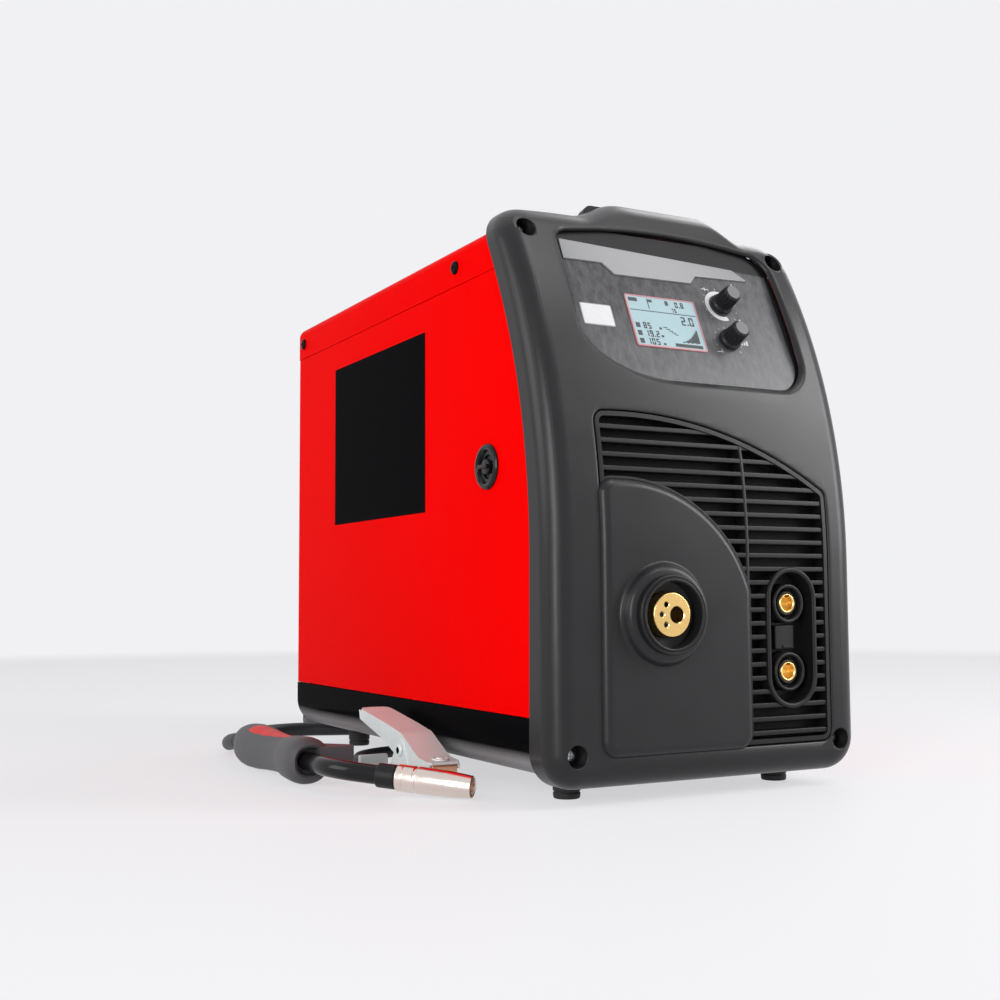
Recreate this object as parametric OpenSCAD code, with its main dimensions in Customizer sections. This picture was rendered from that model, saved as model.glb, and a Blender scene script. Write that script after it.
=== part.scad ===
// Compact inverter MIG welding machine with its torch and earth clamp.
// Millimetres, +Z up, X across the front, the front faces -Y.
// The origin lies on the floor, midway between the four rubber feet.

/* [Case] */
// Width of the front bezel
case_w = 240; // [236:1:300]
// Length from the bezel's face to the rear edge of the covers
case_l = 448; // [448:1:520]
// Height of the bezel's top above the floor
bezel_top = 384; // [382:1:400]
// Height of the bezel's underside above the floor
bezel_bottom = 10; // [8:0.5:11]
// Depth of the bezel, front to back
bezel_d = 28; // [24:1:32]
// Radius of the curve that leans the front back
front_r = 432; // [420:1:520]
// Height at which the front starts to lean back
curve_z = 150; // [140:1:160]
// Wall of the moulded plastic pieces
wall = 3; // [2:0.25:3.5]
// Thickness of the sheet steel
sheet_t = 1.5; // [1:0.1:2]
// Seam between two cover pieces
seam = 0.3; // [0.2:0.05:0.8]
// Rounding of the bezel's upright front edges
bezel_edge_r = 18; // [12:1:20]
// Rise of the handle hump over the bezel
hump_h = 17; // [10:1:20]

/* [Covers] */
// Height of the pan's underside above the floor
pan_z = 15; // [13:0.5:17]
// Height of the pan's side walls above the floor
pan_top = 52; // [48:1:56]
// Radius of the pan's lower corners
pan_corner_r = 22; // [14:1:24]
// Height of the top cover above the floor
cover_top = 369; // [362:1:370]
// Height of the top cover's left flange edge
flange_z = 340; // [330:1:345]
// Radius of the top cover's bends
cover_bend_r = 9; // [5:1:12]
// Width of the opening under the carrying handle
trough_w = 92; // [84:1:100]
// Depth of the hand trough below the cover
trough_d = 22; // [16:1:24]

/* [Feet] */
// Spacing of the feet across the machine
foot_dx = 166; // [160:1:180]
// Spacing of the feet along the machine
foot_dy = 344; // [338:1:350]
// Diameter of a rubber foot
foot_d = 18; // [16:1:24]

/* [Front] */
// Height of the two current sockets' middle above the floor
socket_z = 98.5; // [94:0.5:104]
// Spacing of the two current sockets
socket_pitch = 44.5; // [40:0.5:48]
// Bore of a current socket
socket_bore_d = 9; // [8:0.1:9.5]
// Distance of the current sockets from the middle plane
socket_x = 63; // [61:0.5:65]
// Height of the torch socket's axis above the floor
torch_z = 114.5; // [112:0.5:118]
// Distance of the torch socket's axis left of the middle plane
torch_x = 42.5; // [40:0.5:45]
// Pitch of the grille slats
slat_pitch = 8.8; // [8:0.1:10]
// Thickness of a grille slat
slat_t = 2.7; // [2:0.1:3.5]
// Diameter of a control dial
dial_d = 15; // [12:0.5:18]
// Length of a control dial
dial_l = 17; // [13:0.5:18]

/* [Wire feed] */
// Outer diameter of the wire spool
spool_d = 200; // [160:1:204]
// Width of the wire spool
spool_w = 55; // [50:0.5:57]
// Bore of the wire spool
spool_bore_d = 50.1; // [48:0.1:52]
// Diameter of the drive roll
drive_roll_d = 29.6; // [28:0.1:30]
// Diameter of the pressure roll
pressure_roll_d = 24; // [22:0.2:26]
// Diameter of the welding wire
wire_d = 0.8; // [0.6:0.1:1.2]
// Radial running clearance of every pin and shaft
run_gap = 0.05; // [0.02:0.01:0.09]

/* [Power] */
// Outer size of the cooling fan's square frame
fan_w = 119; // [80:1:119]
// Depth of the cooling fan
fan_t = 25; // [20:1:38]

/* [Torch and clamp] */
// Length of the torch handle
torch_l = 135; // [125:1:135]
// Diameter of the torch nozzle
nozzle_d = 17; // [16:0.5:19]
// Length of the torch nozzle
nozzle_l = 50; // [40:1:54]
// Width of the earth clamp's jaws
clamp_w = 24; // [20:1:26]
// Diameter of the torch cable
torch_cable_d = 12; // [10:0.5:12]
// Diameter of the earth cable
clamp_cable_d = 9; // [7:0.5:9]

/* [Hidden] */

$fn = 48;
eps = 0.01;
// Small gap between neighbours that move against each other
gap = 0.3;

// ---- places that follow from the sizes above ----
front_overhang = 46;
front_y = -(foot_dy / 2 + front_overhang);
rear_y = front_y + case_l;
arc_y = front_y + front_r;
lip_r = front_r - bezel_d;
sheet_r = lip_r - seam;
side_x = case_w / 2 - 1.5;
inner_x = side_x - sheet_t;
rear_panel_t = 3;
rear_out = rear_y - 1;
rear_in = rear_out - rear_panel_t;
pan_floor = pan_z + sheet_t;
hump_top = bezel_top + hump_h;

// Y of the front surface, or of a surface at radius r inside it, at height z
function face_y(z, r = front_r) =
    z <= curve_z ? arc_y - r : arc_y - sqrt(r * r - (z - curve_z) * (z - curve_z));
function smooth(t) = t <= 0 ? 0 : t >= 1 ? 1 : t * t * (3 - 2 * t);

// ---- helpers ----
// Extrude an X-Z drawing from y0 to y1
module along_y(y0, y1) {
    translate([0, y1, 0]) rotate([90, 0, 0]) linear_extrude(y1 - y0) children();
}
// Extrude a Y-Z drawing from x0 to x1
module along_x(x0, x1) {
    translate([x0, 0, 0]) rotate([90, 0, 90]) linear_extrude(x1 - x0) children();
}
module box(low, high) {
    translate(low) cube(high - low);
}
// Cylinder along an axis, given by its two end coordinates
module rod_x(x0, x1, y, z, r) {
    translate([x0, y, z]) rotate([0, 90, 0]) cylinder(r = r, h = x1 - x0);
}
module rod_y(y0, y1, x, z, r) {
    translate([x, y1, z]) rotate([90, 0, 0]) cylinder(r = r, h = y1 - y0);
}
module rod_z(z0, z1, x, y, r) {
    translate([x, y, z0]) cylinder(r = r, h = z1 - z0);
}
// Rectangle with four round corners
module round_rect(x0, z0, x1, z1, r) {
    translate([x0 + r, z0]) square([x1 - x0 - 2 * r, z1 - z0]);
    translate([x0, z0 + r]) square([x1 - x0, z1 - z0 - 2 * r]);
    for (x = [x0 + r, x1 - r], z = [z0 + r, z1 - r])
        translate([x, z]) circle(r = r);
}
// Band that follows the front curve between two radii, across the whole width
module front_band(r_out, r_in, z0 = 0, z1 = 420) {
    along_x(-case_w, case_w)
        difference() {
            curve_area(r_out, z0, z1);
            curve_area(r_in, z0 - 1, z1 + 1);
        }
}
// Everything behind the front curve of radius r, between two heights
module curve_area(r, z0, z1) {
    intersection() {
        union() {
            translate([arc_y, curve_z]) circle(r = r, $fn = 240);
            translate([arc_y - r, z0]) square([r, max(curve_z - z0, eps)]);
        }
        translate([arc_y - r - 1, z0]) square([r + rear_y - arc_y + 1, z1 - z0]);
    }
}
// Closed skin over rings that all have the same number of points
module skin(rings) {
    n = len(rings[0]);
    m = len(rings);
    polyhedron(
        points = [for (ring = rings) each ring],
        faces = concat(
            [for (i = [0 : m - 2], j = [0 : n - 1])
                [i * n + j, i * n + (j + 1) % n, (i + 1) * n + (j + 1) % n, (i + 1) * n + j]],
            [[for (j = [0 : n - 1]) n - 1 - j]],
            [[for (j = [0 : n - 1]) (m - 1) * n + j]]
        ),
        convexity = 8
    );
}
function unit(v) = v / norm(v);
// Round tube swept along points; side_dir is a direction the route never follows
module tube(points, r, sides = 10, side_dir = [0, 0, 1]) {
    last = len(points) - 1;
    skin([
        for (i = [0 : last])
            let (
                along = unit(points[min(i + 1, last)] - points[max(i - 1, 0)]),
                across = unit(cross(along, side_dir)),
                up = cross(across, along)
            )
            [for (k = [0 : sides - 1])
                points[i] + r * (cos(360 * k / sides) * across + sin(360 * k / sides) * up)]
    ]);
}

// ================= case =================
steel_black = [0.06, 0.06, 0.065];
moulded_black = [0.09, 0.09, 0.095];
paint_red = [0.82, 0.03, 0.03];

module pan_outline(inset) {
    x = side_x - inset;
    z = pan_z + inset;
    r = pan_corner_r - inset;
    intersection() {
        round_rect(-x, z, x, z + 100, r);
        translate([-case_w, 0]) square([2 * case_w, pan_top]);
    }
}
module base_pan() {
    color(steel_black) difference() {
        intersection() {
            along_y(front_y, rear_y) difference() {
                pan_outline(0);
                round_rect(-inner_x, pan_floor, inner_x, pan_top + 50, pan_corner_r - sheet_t);
            }
            along_x(-case_w, case_w) curve_area(sheet_r, 0, 60);
        }
        for (x = [-1, 1], y = [-1, 1])
            rod_z(pan_z - 1, pan_floor + 1, x * foot_dx / 2, y * foot_dy / 2, foot_screw_r + 1);
        // vents under the power side
        for (i = [0 : 8])
            box([34, -60 + i * vent_pitch, pan_z - 1], [78, -56 + i * vent_pitch, pan_floor + 1]);
    }
}
vent_pitch = 12;
foot_screw_r = 2.6;

partition_x = -8;
partition_t = 1.5;
partition_front = front_y + bezel_d + 8;
module centre_partition() {
    color([0.55, 0.56, 0.57]) difference() {
        union() {
            along_x(partition_x, partition_x + partition_t)
                intersection() {
                    curve_area(lip_r - 8, pan_floor, cover_top - trough_d - 4);
                    translate([partition_front, 0]) square([rear_in - partition_front, 400]);
                }
            // foot flange on the pan floor
            box([partition_x, partition_front, pan_floor], [partition_x + 14, rear_in, pan_floor + sheet_t]);
        }
        rod_x(partition_x - 1, partition_x + 3, feed_y, drive_z, 6.5);
    }
}

module cover_outline(inset) {
    x = side_x - inset;
    r = cover_bend_r - inset;
    top = cover_top - inset;
    translate([-x + r, 0]) square([2 * (x - r), top]);
    translate([-x, 0]) square([2 * x, top - r]);
    for (s = [-1, 1]) translate([s * (x - r), top - r]) circle(r = r);
}
module top_cover() {
    color(paint_red) difference() {
        intersection() {
            along_y(front_y, rear_y) difference() {
                cover_outline(0);
                cover_outline(sheet_t);
                translate([-case_w, -1]) square([case_w, flange_z + 1]);
                translate([-case_w, -1]) square([2 * case_w, pan_top + seam + 1]);
            }
            along_x(-case_w, case_w) curve_area(sheet_r, 0, 400);
        }
        trough_cut(0);
        // louvres on the power side
        for (i = [0 : 13])
            box([inner_x - 1, -70 + i * vent_pitch, 110], [side_x + 1, -65 + i * vent_pitch, 150]);
        for (y = cover_screw_ys, s = [-1, 1])
            rod_x(s * side_x - 3, s * side_x + 3, y, cover_screw_z, case_screw_r + 0.1);
    }
}
trough_front = front_y + 128;
trough_rear = trough_front + 232;
module trough_cut(inset) {
    along_z(cover_top - sheet_t - 1, cover_top + 1)
        round_rect(-trough_w / 2 + inset, trough_front + inset, trough_w / 2 - inset, trough_rear - inset, 14);
}
module along_z(z0, z1) {
    translate([0, 0, z0]) linear_extrude(z1 - z0) children();
}
trough_flange = 5;
trough_t = 2.5;
module hand_trough() {
    color(moulded_black) difference() {
        union() {
            along_z(cover_top, cover_top + 1.5)
                round_rect(-trough_w / 2 - trough_flange, trough_front - trough_flange,
                    trough_w / 2 + trough_flange, trough_rear + trough_flange, 17);
            along_z(cover_top - trough_d, cover_top + 1)
                round_rect(-trough_w / 2 + seam, trough_front + seam, trough_w / 2 - seam, trough_rear - seam, 13.7);
        }
        along_z(cover_top - trough_d + trough_t, cover_top + 5)
            round_rect(-trough_w / 2 + trough_t, trough_front + trough_t,
                trough_w / 2 - trough_t, trough_rear - trough_t, 11.5);
    }
}

// ---- front bezel ----
bezel_low_r = 22;
bezel_high_r = 24;
// Cross-section of the bezel: X is the distance from the curve's axis, Y is across the front
module bezel_section(inset, back_r) {
    r = bezel_edge_r - inset;
    w = case_w / 2 - inset;
    out = front_r - inset;
    steps = [0, 30, 60, 90];
    polygon(concat(
        [[back_r, -w]],
        [for (a = steps) [out - r + r * sin(a), -w + r - r * cos(a)]],
        [for (a = steps) [out - r + r * cos(a), w - r + r * sin(a)]],
        [[back_r, w]]
    ));
}
// Front view of the bezel: small corners below, wider ones above
module bezel_outline(inset) {
    w = case_w / 2 - inset;
    rl = bezel_low_r - inset;
    rh = bezel_high_r - inset;
    translate([-w, bezel_bottom + inset + rl]) square([2 * w, bezel_top - bezel_bottom - 2 * inset - rl - rh]);
    translate([-w + rl, bezel_bottom + inset]) square([2 * (w - rl), 100]);
    translate([-w + rh, bezel_top - inset - 100]) square([2 * (w - rh), 100]);
    for (s = [-1, 1]) {
        translate([s * (w - rl), bezel_bottom + inset + rl]) circle(r = rl);
        translate([s * (w - rh), bezel_top - inset - rh]) circle(r = rh);
    }
}
// Upright below, swept round the curve's axis above
module bezel_body(inset, back_r) {
    intersection() {
        union() {
            translate([0, arc_y, 0]) rotate([0, 0, -90]) linear_extrude(curve_z) bezel_section(inset, back_r);
            translate([0, arc_y, curve_z]) rotate([90, 0, -90])
                rotate_extrude(angle = 37, $fn = 240) bezel_section(inset, back_r);
        }
        along_y(front_y - 1, 0) bezel_outline(inset);
    }
}

// Rounded outline of the control recess, grown by g
recess_x0 = -87;
recess_x1 = 94;
recess_z0 = 265;
recess_z1 = 373;
recess_r = 22;
module recess_outline(g) {
    round_rect(recess_x0 - g, recess_z0 - g, recess_x1 + g, recess_z1 + g, recess_r + g);
}
// The fascia is a flat plate that leans back with the front
fascia_mid_z = 318.3;
fascia_depth = 10;
fascia_tilt = asin((fascia_mid_z - curve_z) / (front_r - fascia_depth));
fascia_mid_y = face_y(fascia_mid_z, front_r - fascia_depth);
fascia_t = 2;
// Local frame of the fascia: X across, Z up its face, -Y out of its face
module on_fascia() {
    translate([0, fascia_mid_y, fascia_mid_z]) rotate([-fascia_tilt, 0, 0]) children();
}
// Grille outline: an arc above, rounded corners, grown by g
grille_x0 = -84;
grille_x1 = 95.5;
grille_z0 = 30;
grille_arc_x = -60;
grille_arc_z = -38;
grille_arc_r = 280;
module grille_outline(g) {
    intersection() {
        round_rect(grille_x0 - g, grille_z0 - g, grille_x1 + g, grille_arc_z + grille_arc_r + g, 8 + g);
        translate([grille_arc_x, grille_arc_z]) circle(r = grille_arc_r + g, $fn = 180);
    }
}
// Quarter-round pod that carries the torch socket
pod_x1 = 27;
pod_arc_x = -56;
pod_arc_z = 114;
pod_arc_r = 83;
pod_h = 4;
module pod_outline(g) {
    intersection() {
        translate([grille_x0 - 10, grille_z0 - 10]) square([pod_x1 + g - grille_x0 + 10, 300]);
        union() {
            translate([grille_x0 - 10, grille_z0 - 10]) square([200, pod_arc_z - grille_z0 + 10]);
            translate([pod_arc_x, pod_arc_z]) circle(r = pod_arc_r + g, $fn = 96);
            translate([grille_x0 - 10, pod_arc_z - 1]) square([pod_arc_x - grille_x0 + 10, pod_arc_r + g + 1]);
        }
    }
}
// The pod's raised face stays inside the grille's own frame line
module pod_face() {
    intersection() {
        pod_outline(0);
        round_rect(grille_x0, grille_z0, 200, 400, 8);
    }
}
bezel_screw_low_z = 31;
bezel_screw_high_z = 366;
bezel_screw_x = 102.5;
bezel_screw_recess_r = 6.5;
bezel_screw_seat = 12;
case_screw_r = 2.4;
boss_r = 30.5;
boss_h = 8;
boss_top_r = 26;
pod_y = front_y - pod_h;
socket_flange_r = 24.5;
socket_barrel_r = 22;
latch_y = rear_y - 364.8;
latch_z = 210.5;
module bezel_screw_places() {
    for (s = [-1, 1], z = [bezel_screw_low_z, bezel_screw_high_z])
        translate([s * bezel_screw_x, face_y(z), z]) children();
}
module front_bezel() {
    color(moulded_black) difference() {
        union() {
            difference() {
                bezel_body(0, lip_r);
                bezel_body(wall, lip_r - 6);
            }
            // inward lip that the covers butt against
            intersection() {
                front_band(lip_r + wall, lip_r);
                along_y(front_y, 0) difference() {
                    bezel_outline(1);
                    round_rect(-side_x + 4, pan_floor + 0.5, side_x - 4, cover_top - 4, 18);
                }
            }
            // walls of the control recess
            intersection() {
                along_x(-case_w, case_w) curve_area(front_r - 1, 0, 420);
                along_y(front_y, 0) recess_outline(wall);
                on_fascia() box([-case_w, -60, -100], [case_w, fascia_t, 100]);
            }
            // raised pod and the soft boss round the torch socket
            along_y(pod_y, front_y + wall) pod_face();
            translate([-torch_x, pod_y + eps, torch_z]) rotate([90, 0, 0])
                cylinder(r1 = boss_r, r2 = boss_top_r, h = boss_h);
            // handle hump
            intersection() {
                along_y(front_y, face_y(bezel_top, lip_r)) hump_outline();
                along_x(-case_w, case_w) curve_area(front_r - 0.2, 0, 420);
            }
            // screw bosses
            intersection() {
                along_x(-case_w, case_w) curve_area(front_r - 2.6, 0, 420);
                bezel_screw_places() rod_y(-10, bezel_d - 1, 0, 0, bezel_screw_recess_r + 2);
            }
            // tongue that the door's latch catches
            box([-inner_x + 4, latch_y - 62, latch_z - 10], [-inner_x + 7, latch_y - 8, latch_z + 10]);
            box([-case_w / 2 + 1, latch_y - 62, latch_z - 10], [-inner_x + 7, latch_y - 56, latch_z + 10]);
        }
        along_y(front_y - 20, 0) intersection() {
            recess_outline(0);
            translate([-case_w, 0]) square([2 * case_w, 500]);
        }
        along_y(front_y - 1, 0) difference() {
            grille_outline(0);
            pod_outline(0);
        }
        bezel_screw_places() rod_y(-30, bezel_screw_seat, 0, 0, bezel_screw_recess_r);
        bezel_screw_places() rod_y(-30, 40, 0, 0, case_screw_r + 0.1);
        rod_y(front_y - 30, front_y + 20, -torch_x, torch_z, socket_barrel_r + gap);
    }
}
hump_base = 67;
hump_flat = 38;
module hump_outline() {
    steps = 10;
    polygon(concat(
        [[-hump_base + 9, bezel_top - wall]],
        [for (k = [0 : steps]) [-hump_base + (hump_base - hump_flat) * k / steps, bezel_top + hump_h * smooth(k / steps)]],
        [for (k = [0 : steps]) [hump_flat + (hump_base - hump_flat) * k / steps, bezel_top + hump_h * smooth(1 - k / steps)]],
        [[hump_base - 9, bezel_top - wall]]
    ));
}

grille_back = 9;
grille_frame = 3.2;
slat_z0 = grille_z0 + 6;
recess_half_w = 18.4;
cup_depth = 14;
cup_wall = 2.5;
module cup_outline(g) {
    for (s = [-1, 1])
        translate([socket_x, socket_z + s * socket_pitch / 2 + s * 3]) circle(r = recess_half_w - 1 + g);
    translate([socket_x - recess_half_w + 1 - g, socket_z - socket_pitch / 2 - 3])
        square([2 * (recess_half_w - 1 + g), socket_pitch + 6]);
}
// Thickness of the upright rib between the slats
grille_rib_t = 2.6;
module front_grille() {
    color(moulded_black) difference() {
        union() {
            intersection() {
                front_band(front_r - 0.6, front_r - grille_back);
                along_y(front_y, 0) difference() {
                    union() {
                        difference() {
                            grille_outline(-seam);
                            grille_outline(-grille_frame);
                        }
                        intersection() {
                            grille_outline(-1);
                            union() {
                                difference() {
                                    pod_outline(grille_frame);
                                    pod_outline(seam);
                                }
                                for (i = [0 : floor((grille_arc_z + grille_arc_r - slat_z0) / slat_pitch)])
                                    translate([grille_x0, slat_z0 + i * slat_pitch])
                                        square([grille_x1 - grille_x0, slat_t]);
                                translate([pod_x1 - 1.2, pod_arc_z]) square([grille_rib_t, grille_arc_r]);
                            }
                        }
                    }
                    pod_outline(seam);
                    cup_outline(0);
                }
            }
            along_y(front_y + 0.6, front_y + cup_depth + cup_wall) cup_outline(cup_wall);
        }
        along_y(front_y - 1, front_y + cup_depth) cup_outline(0);
        for (s = [-1, 1])
            rod_y(front_y, front_y + 30, socket_x, socket_z + s * socket_pitch / 2, output_body_r + gap);
    }
}

// ---- control panel ----
module control_fascia() {
    color([0.2, 0.2, 0.21]) difference() {
        intersection() {
            on_fascia() box([recess_x0, -fascia_t, -80], [recess_x1, 0, 80]);
            along_y(front_y, 0) recess_outline(-seam);
        }
        on_fascia() union() {
            for (v = dial_vs)
                rod_y(-5, 5, v[0], v[1], encoder_r + gap);
            box([lcd_x - lcd_w / 2 + 3, -5, lcd_v - lcd_h / 2 + 3], [lcd_x + lcd_w / 2 - 3, 5, lcd_v + lcd_h / 2 - 3]);
        }
    }
}
// Places on the fascia: [across, up]
dial_vs = [[44, 7.3], [41.5, -22.1]];
encoder_r = 3;
lcd_x = -7.5;
lcd_v = -12.9;
lcd_w = 57;
lcd_h = 41;
trim_t = 1.2;
module fascia_trim() {
    color([0.75, 0.76, 0.78]) on_fascia() along_y(-fascia_t - trim_t, -fascia_t)
        polygon([[-77, 46.5], [64, 40], [74, 33], [74, 31.5], [29.5, 30], [23.5, 23.3], [-39, 22.5], [-47, 31], [-77, 30.5]]);
}
lcd_t = 1;
module lcd_window() {
    color([0.75, 0.87, 0.9]) on_fascia()
        box([lcd_x - lcd_w / 2, -fascia_t - lcd_t, lcd_v - lcd_h / 2], [lcd_x + lcd_w / 2, -fascia_t, lcd_v + lcd_h / 2]);
}
board_y = 14;
board_t = 1.6;
module panel_board() {
    color([0.05, 0.3, 0.15]) on_fascia() union() {
        difference() {
            box([-62, board_y, -38], [72, board_y + board_t, 20]);
            for (v = dial_vs)
                rod_y(board_y - 5, board_y + 5, v[0], v[1], encoder_r + gap);
        }
        // display module and four stand-offs that carry the board
        box([lcd_x - lcd_w / 2 + 3.5, 0.2, lcd_v - lcd_h / 2 + 3.5], [lcd_x + lcd_w / 2 - 3.5, board_y, lcd_v + lcd_h / 2 - 3.5]);
        for (x = [-56, 66], z = [-32, 15])
            rod_y(0, board_y, x, z, 3);
        // encoder cases
        for (v = dial_vs) difference() {
            box([v[0] - 7, 5, v[1] - 7], [v[0] + 7, board_y, v[1] + 7]);
            rod_y(0, 20, v[0], v[1], encoder_r + run_gap);
        }
    }
}
push_travel = 0.8;
// Spindle that slides through its encoder when the dial is pushed
module encoder(v) {
    color([0.7, 0.7, 0.72]) on_fascia() rod_y(-fascia_t - dial_l + 3, board_y - push_travel - 1, v[0], v[1], encoder_r);
}
module dial(v) {
    color([0.08, 0.08, 0.085]) on_fascia() translate([v[0], 0, v[1]]) difference() {
        union() {
            rod_y(-fascia_t - dial_l, -fascia_t - push_travel - 0.4, 0, 0, dial_d / 2 - 0.4);
            rod_y(-fascia_t - 5, -fascia_t - push_travel - 0.4, 0, 0, dial_d / 2 + 0.8);
        }
        rod_y(-fascia_t - dial_l + 3 - 0.2, 0, 0, 0, encoder_r + run_gap);
    }
}
module encoder_upper() { encoder(dial_vs[0]); }
module dial_upper() { dial(dial_vs[0]); }
module encoder_lower() { encoder(dial_vs[1]); }
module dial_lower() { dial(dial_vs[1]); }

// ---- rear panel ----
fan_side_gap = 1.5;
fan_x = inner_x - fan_w / 2 - fan_side_gap;
fan_z = 150;
switch_x = 60;
switch_z = 262;
gland_x = side_x - 30.5;
gland_z = 58;
gas_x = -50;
gas_z = 300;
rear_corner_x = side_x - 9.5;
module rear_panel() {
    color(steel_black) difference() {
        along_y(rear_in, rear_out) union() {
            translate([-rear_corner_x, pan_top]) square([rear_corner_x + inner_x, flange_z - pan_top]);
            translate([-inner_x + 1, flange_z]) square([2 * inner_x - 1, cover_top - cover_bend_r - flange_z]);
            translate([-inner_x + 8, flange_z]) square([2 * inner_x - 16, cover_top - sheet_t - flange_z]);
            translate([-inner_x + 16, pan_floor]) square([2 * inner_x - 32, pan_top - pan_floor]);
            translate([-inner_x, pan_floor + pan_corner_r]) square([2 * inner_x, pan_top - pan_floor - pan_corner_r]);
        }
        box([-inner_x - 1, rear_in - 1, pan_top - 8 - gap], [-rear_corner_x, rear_out + 1, flange_z + 8 + gap]);
        rod_y(rear_in - 1, rear_out + 1, fan_x, fan_z, fan_w / 2 - 4);
        box([switch_x - 15.2, rear_in - 1, switch_z - 11.2], [switch_x + 15.2, rear_out + 1, switch_z + 11.2]);
        rod_y(rear_in - 1, rear_out + 1, gland_x, gland_z, 10.2);
        rod_y(rear_in - 1, rear_out + 1, gas_x, gas_z, 7.2);
    }
}
module fan_guard() {
    color([0.1, 0.1, 0.1]) union() {
        for (r = [14 : 10 : 54])
            translate([fan_x, rear_out + 3.2, fan_z]) rotate([90, 0, 0])
                rotate_extrude() translate([r, 0]) circle(r = 1, $fn = 16);
        for (a = [45, 135]) translate([fan_x, rear_out + 1.2, fan_z]) rotate([0, a, 0])
            rod_x(-74, 74, 0, 0, 1.2);
    }
}
fan_front = rear_in - fan_t;
module fan_housing() {
    color([0.1, 0.1, 0.1]) difference() {
        union() {
            difference() {
                box([fan_x - fan_w / 2, fan_front, fan_z - fan_w / 2], [fan_x + fan_w / 2, rear_in, fan_z + fan_w / 2]);
                rod_y(fan_front - 1, rear_in + 1, fan_x, fan_z, fan_w / 2 - 3);
            }
            rod_y(rear_in - 8, rear_in - 1, fan_x, fan_z, 20);
            for (a = [0 : 120 : 240]) translate([fan_x, rear_in - 5, fan_z]) rotate([0, a + 30, 0])
                box([15, 0, -2.5], [fan_w / 2 - 1, 4, 2.5]);
        }
        rod_y(rear_in - 8.1, rear_in - 4, fan_x, fan_z, 3 + run_gap);
    }
}
// Fan housing inside the rear panel and its wire guard outside it
module fan_frame() {
    fan_housing();
    fan_guard();
}
module fan_rotor() {
    color([0.12, 0.12, 0.12]) union() {
        rod_y(fan_front + 2, rear_in - 8.5, fan_x, fan_z, 19);
        rod_y(rear_in - 9, rear_in - 4.5, fan_x, fan_z, 3);
        for (a = [0 : 360 / 7 : 359]) translate([fan_x, (fan_front + rear_in) / 2 - 3, fan_z]) rotate([0, a, 0])
            rotate([38, 0, 0]) box([17, -1, -9], [fan_w / 2 - 6, 1, 9]);
    }
}
module mains_switch() {
    color([0.05, 0.05, 0.05]) difference() {
        union() {
            along_y(rear_out, rear_out + 2) round_rect(switch_x - 17, switch_z - 13, switch_x + 17, switch_z + 13, 2);
            box([switch_x - 15, rear_in - 22, switch_z - 11], [switch_x + 15, rear_out, switch_z + 11]);
        }
        box([switch_x - 12.5, rear_in - 12, switch_z - 8.6], [switch_x + 12.5, rear_out + 5, switch_z + 8.6]);
        rod_x(switch_x - 14, switch_x + 14, rear_out - 2, switch_z, 2 + run_gap);
    }
}
rocker_tilt = 10;
module switch_rocker() {
    color([0.75, 0.08, 0.06]) translate([switch_x, rear_out - 2, switch_z]) rotate([rocker_tilt, 0, 0]) union() {
        along_x(-12.2, 12.2) union() {
            circle(r = 4);
            polygon([[0, -3.4], [5.5, -7.2], [6.4, -6.6], [4.6, 0], [6.4, 6.6], [5.5, 7.2], [0, 3.4]]);
        }
        rod_x(-13.8, 13.8, 0, 0, 2);
    }
}
gland_bore_r = 5.5;
module cable_gland() {
    color([0.07, 0.07, 0.07]) difference() {
        union() {
            rod_y(rear_in - 8, rear_out + 8, gland_x, gland_z, 10);
            translate([gland_x, rear_out + 5, gland_z]) rotate([90, 0, 0]) cylinder(r = 15, h = 5, $fn = 6);
            translate([gland_x, rear_in, gland_z]) rotate([90, 0, 0]) cylinder(r = 15, h = 5, $fn = 6);
            translate([gland_x, rear_out + 8, gland_z]) rotate([-90, 0, 0]) cylinder(r1 = 12, r2 = 8, h = 16);
        }
        rod_y(rear_in - 9, rear_out + 30, gland_x, gland_z, gland_bore_r);
    }
}
tail_r = 4;
tail_l = 18;
module gas_valve() {
    color([0.7, 0.6, 0.3]) difference() {
        union() {
            rod_y(rear_in - 12, rear_out + 6, gas_x, gas_z, 7);
            translate([gas_x, rear_out + 5, gas_z]) rotate([90, 0, 0]) cylinder(r = 10, h = 5, $fn = 6);
            rod_y(rear_out + 5, rear_out + 6 + tail_l, gas_x, gas_z, tail_r);
            box([gas_x - 12, rear_in - 34, gas_z - 9], [gas_x + 12, rear_in - 12, gas_z + 9]);
            rod_z(gas_z + 9, gas_z + 30, gas_x, rear_in - 23, 10);
            rod_y(rear_in - 46, rear_in - 34, gas_x, gas_z, 3.5);
        }
        rod_y(rear_out - 8, rear_out + 30, gas_x, gas_z, 2.2);
    }
}
hose_r = 4;
// Hose from the valve to the torch socket, its Y measured from the bezel's face
hose_run = [
    [-48, 374, 301], [-42, 358, 302], [-32, 340, 302], [-24, 318, 302], [-20, 294, 301],
    [-18, 268, 300], [-18, 242, 299], [-18, 214, 298], [-18, 186, 296], [-18, 158, 292], [-18, 132, 285],
    [-18, 108, 274], [-19, 86, 258], [-20, 68, 238], [-22, 54, 214], [-25, 44, 190], [-29, 37, 166],
    [-33, 34, 146], [-35, 34, 127]
];
hose_points = concat(
    [[gas_x, rear_in - 40, gas_z], [gas_x + 0.5, rear_in - 56, gas_z]],
    [for (p = hose_run) [p[0], front_y + p[1], p[2]]]
);
module gas_hose() {
    color([0.1, 0.1, 0.12]) tube(hose_points, hose_r, 10, [1, 0.2, 0]);
}

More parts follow.
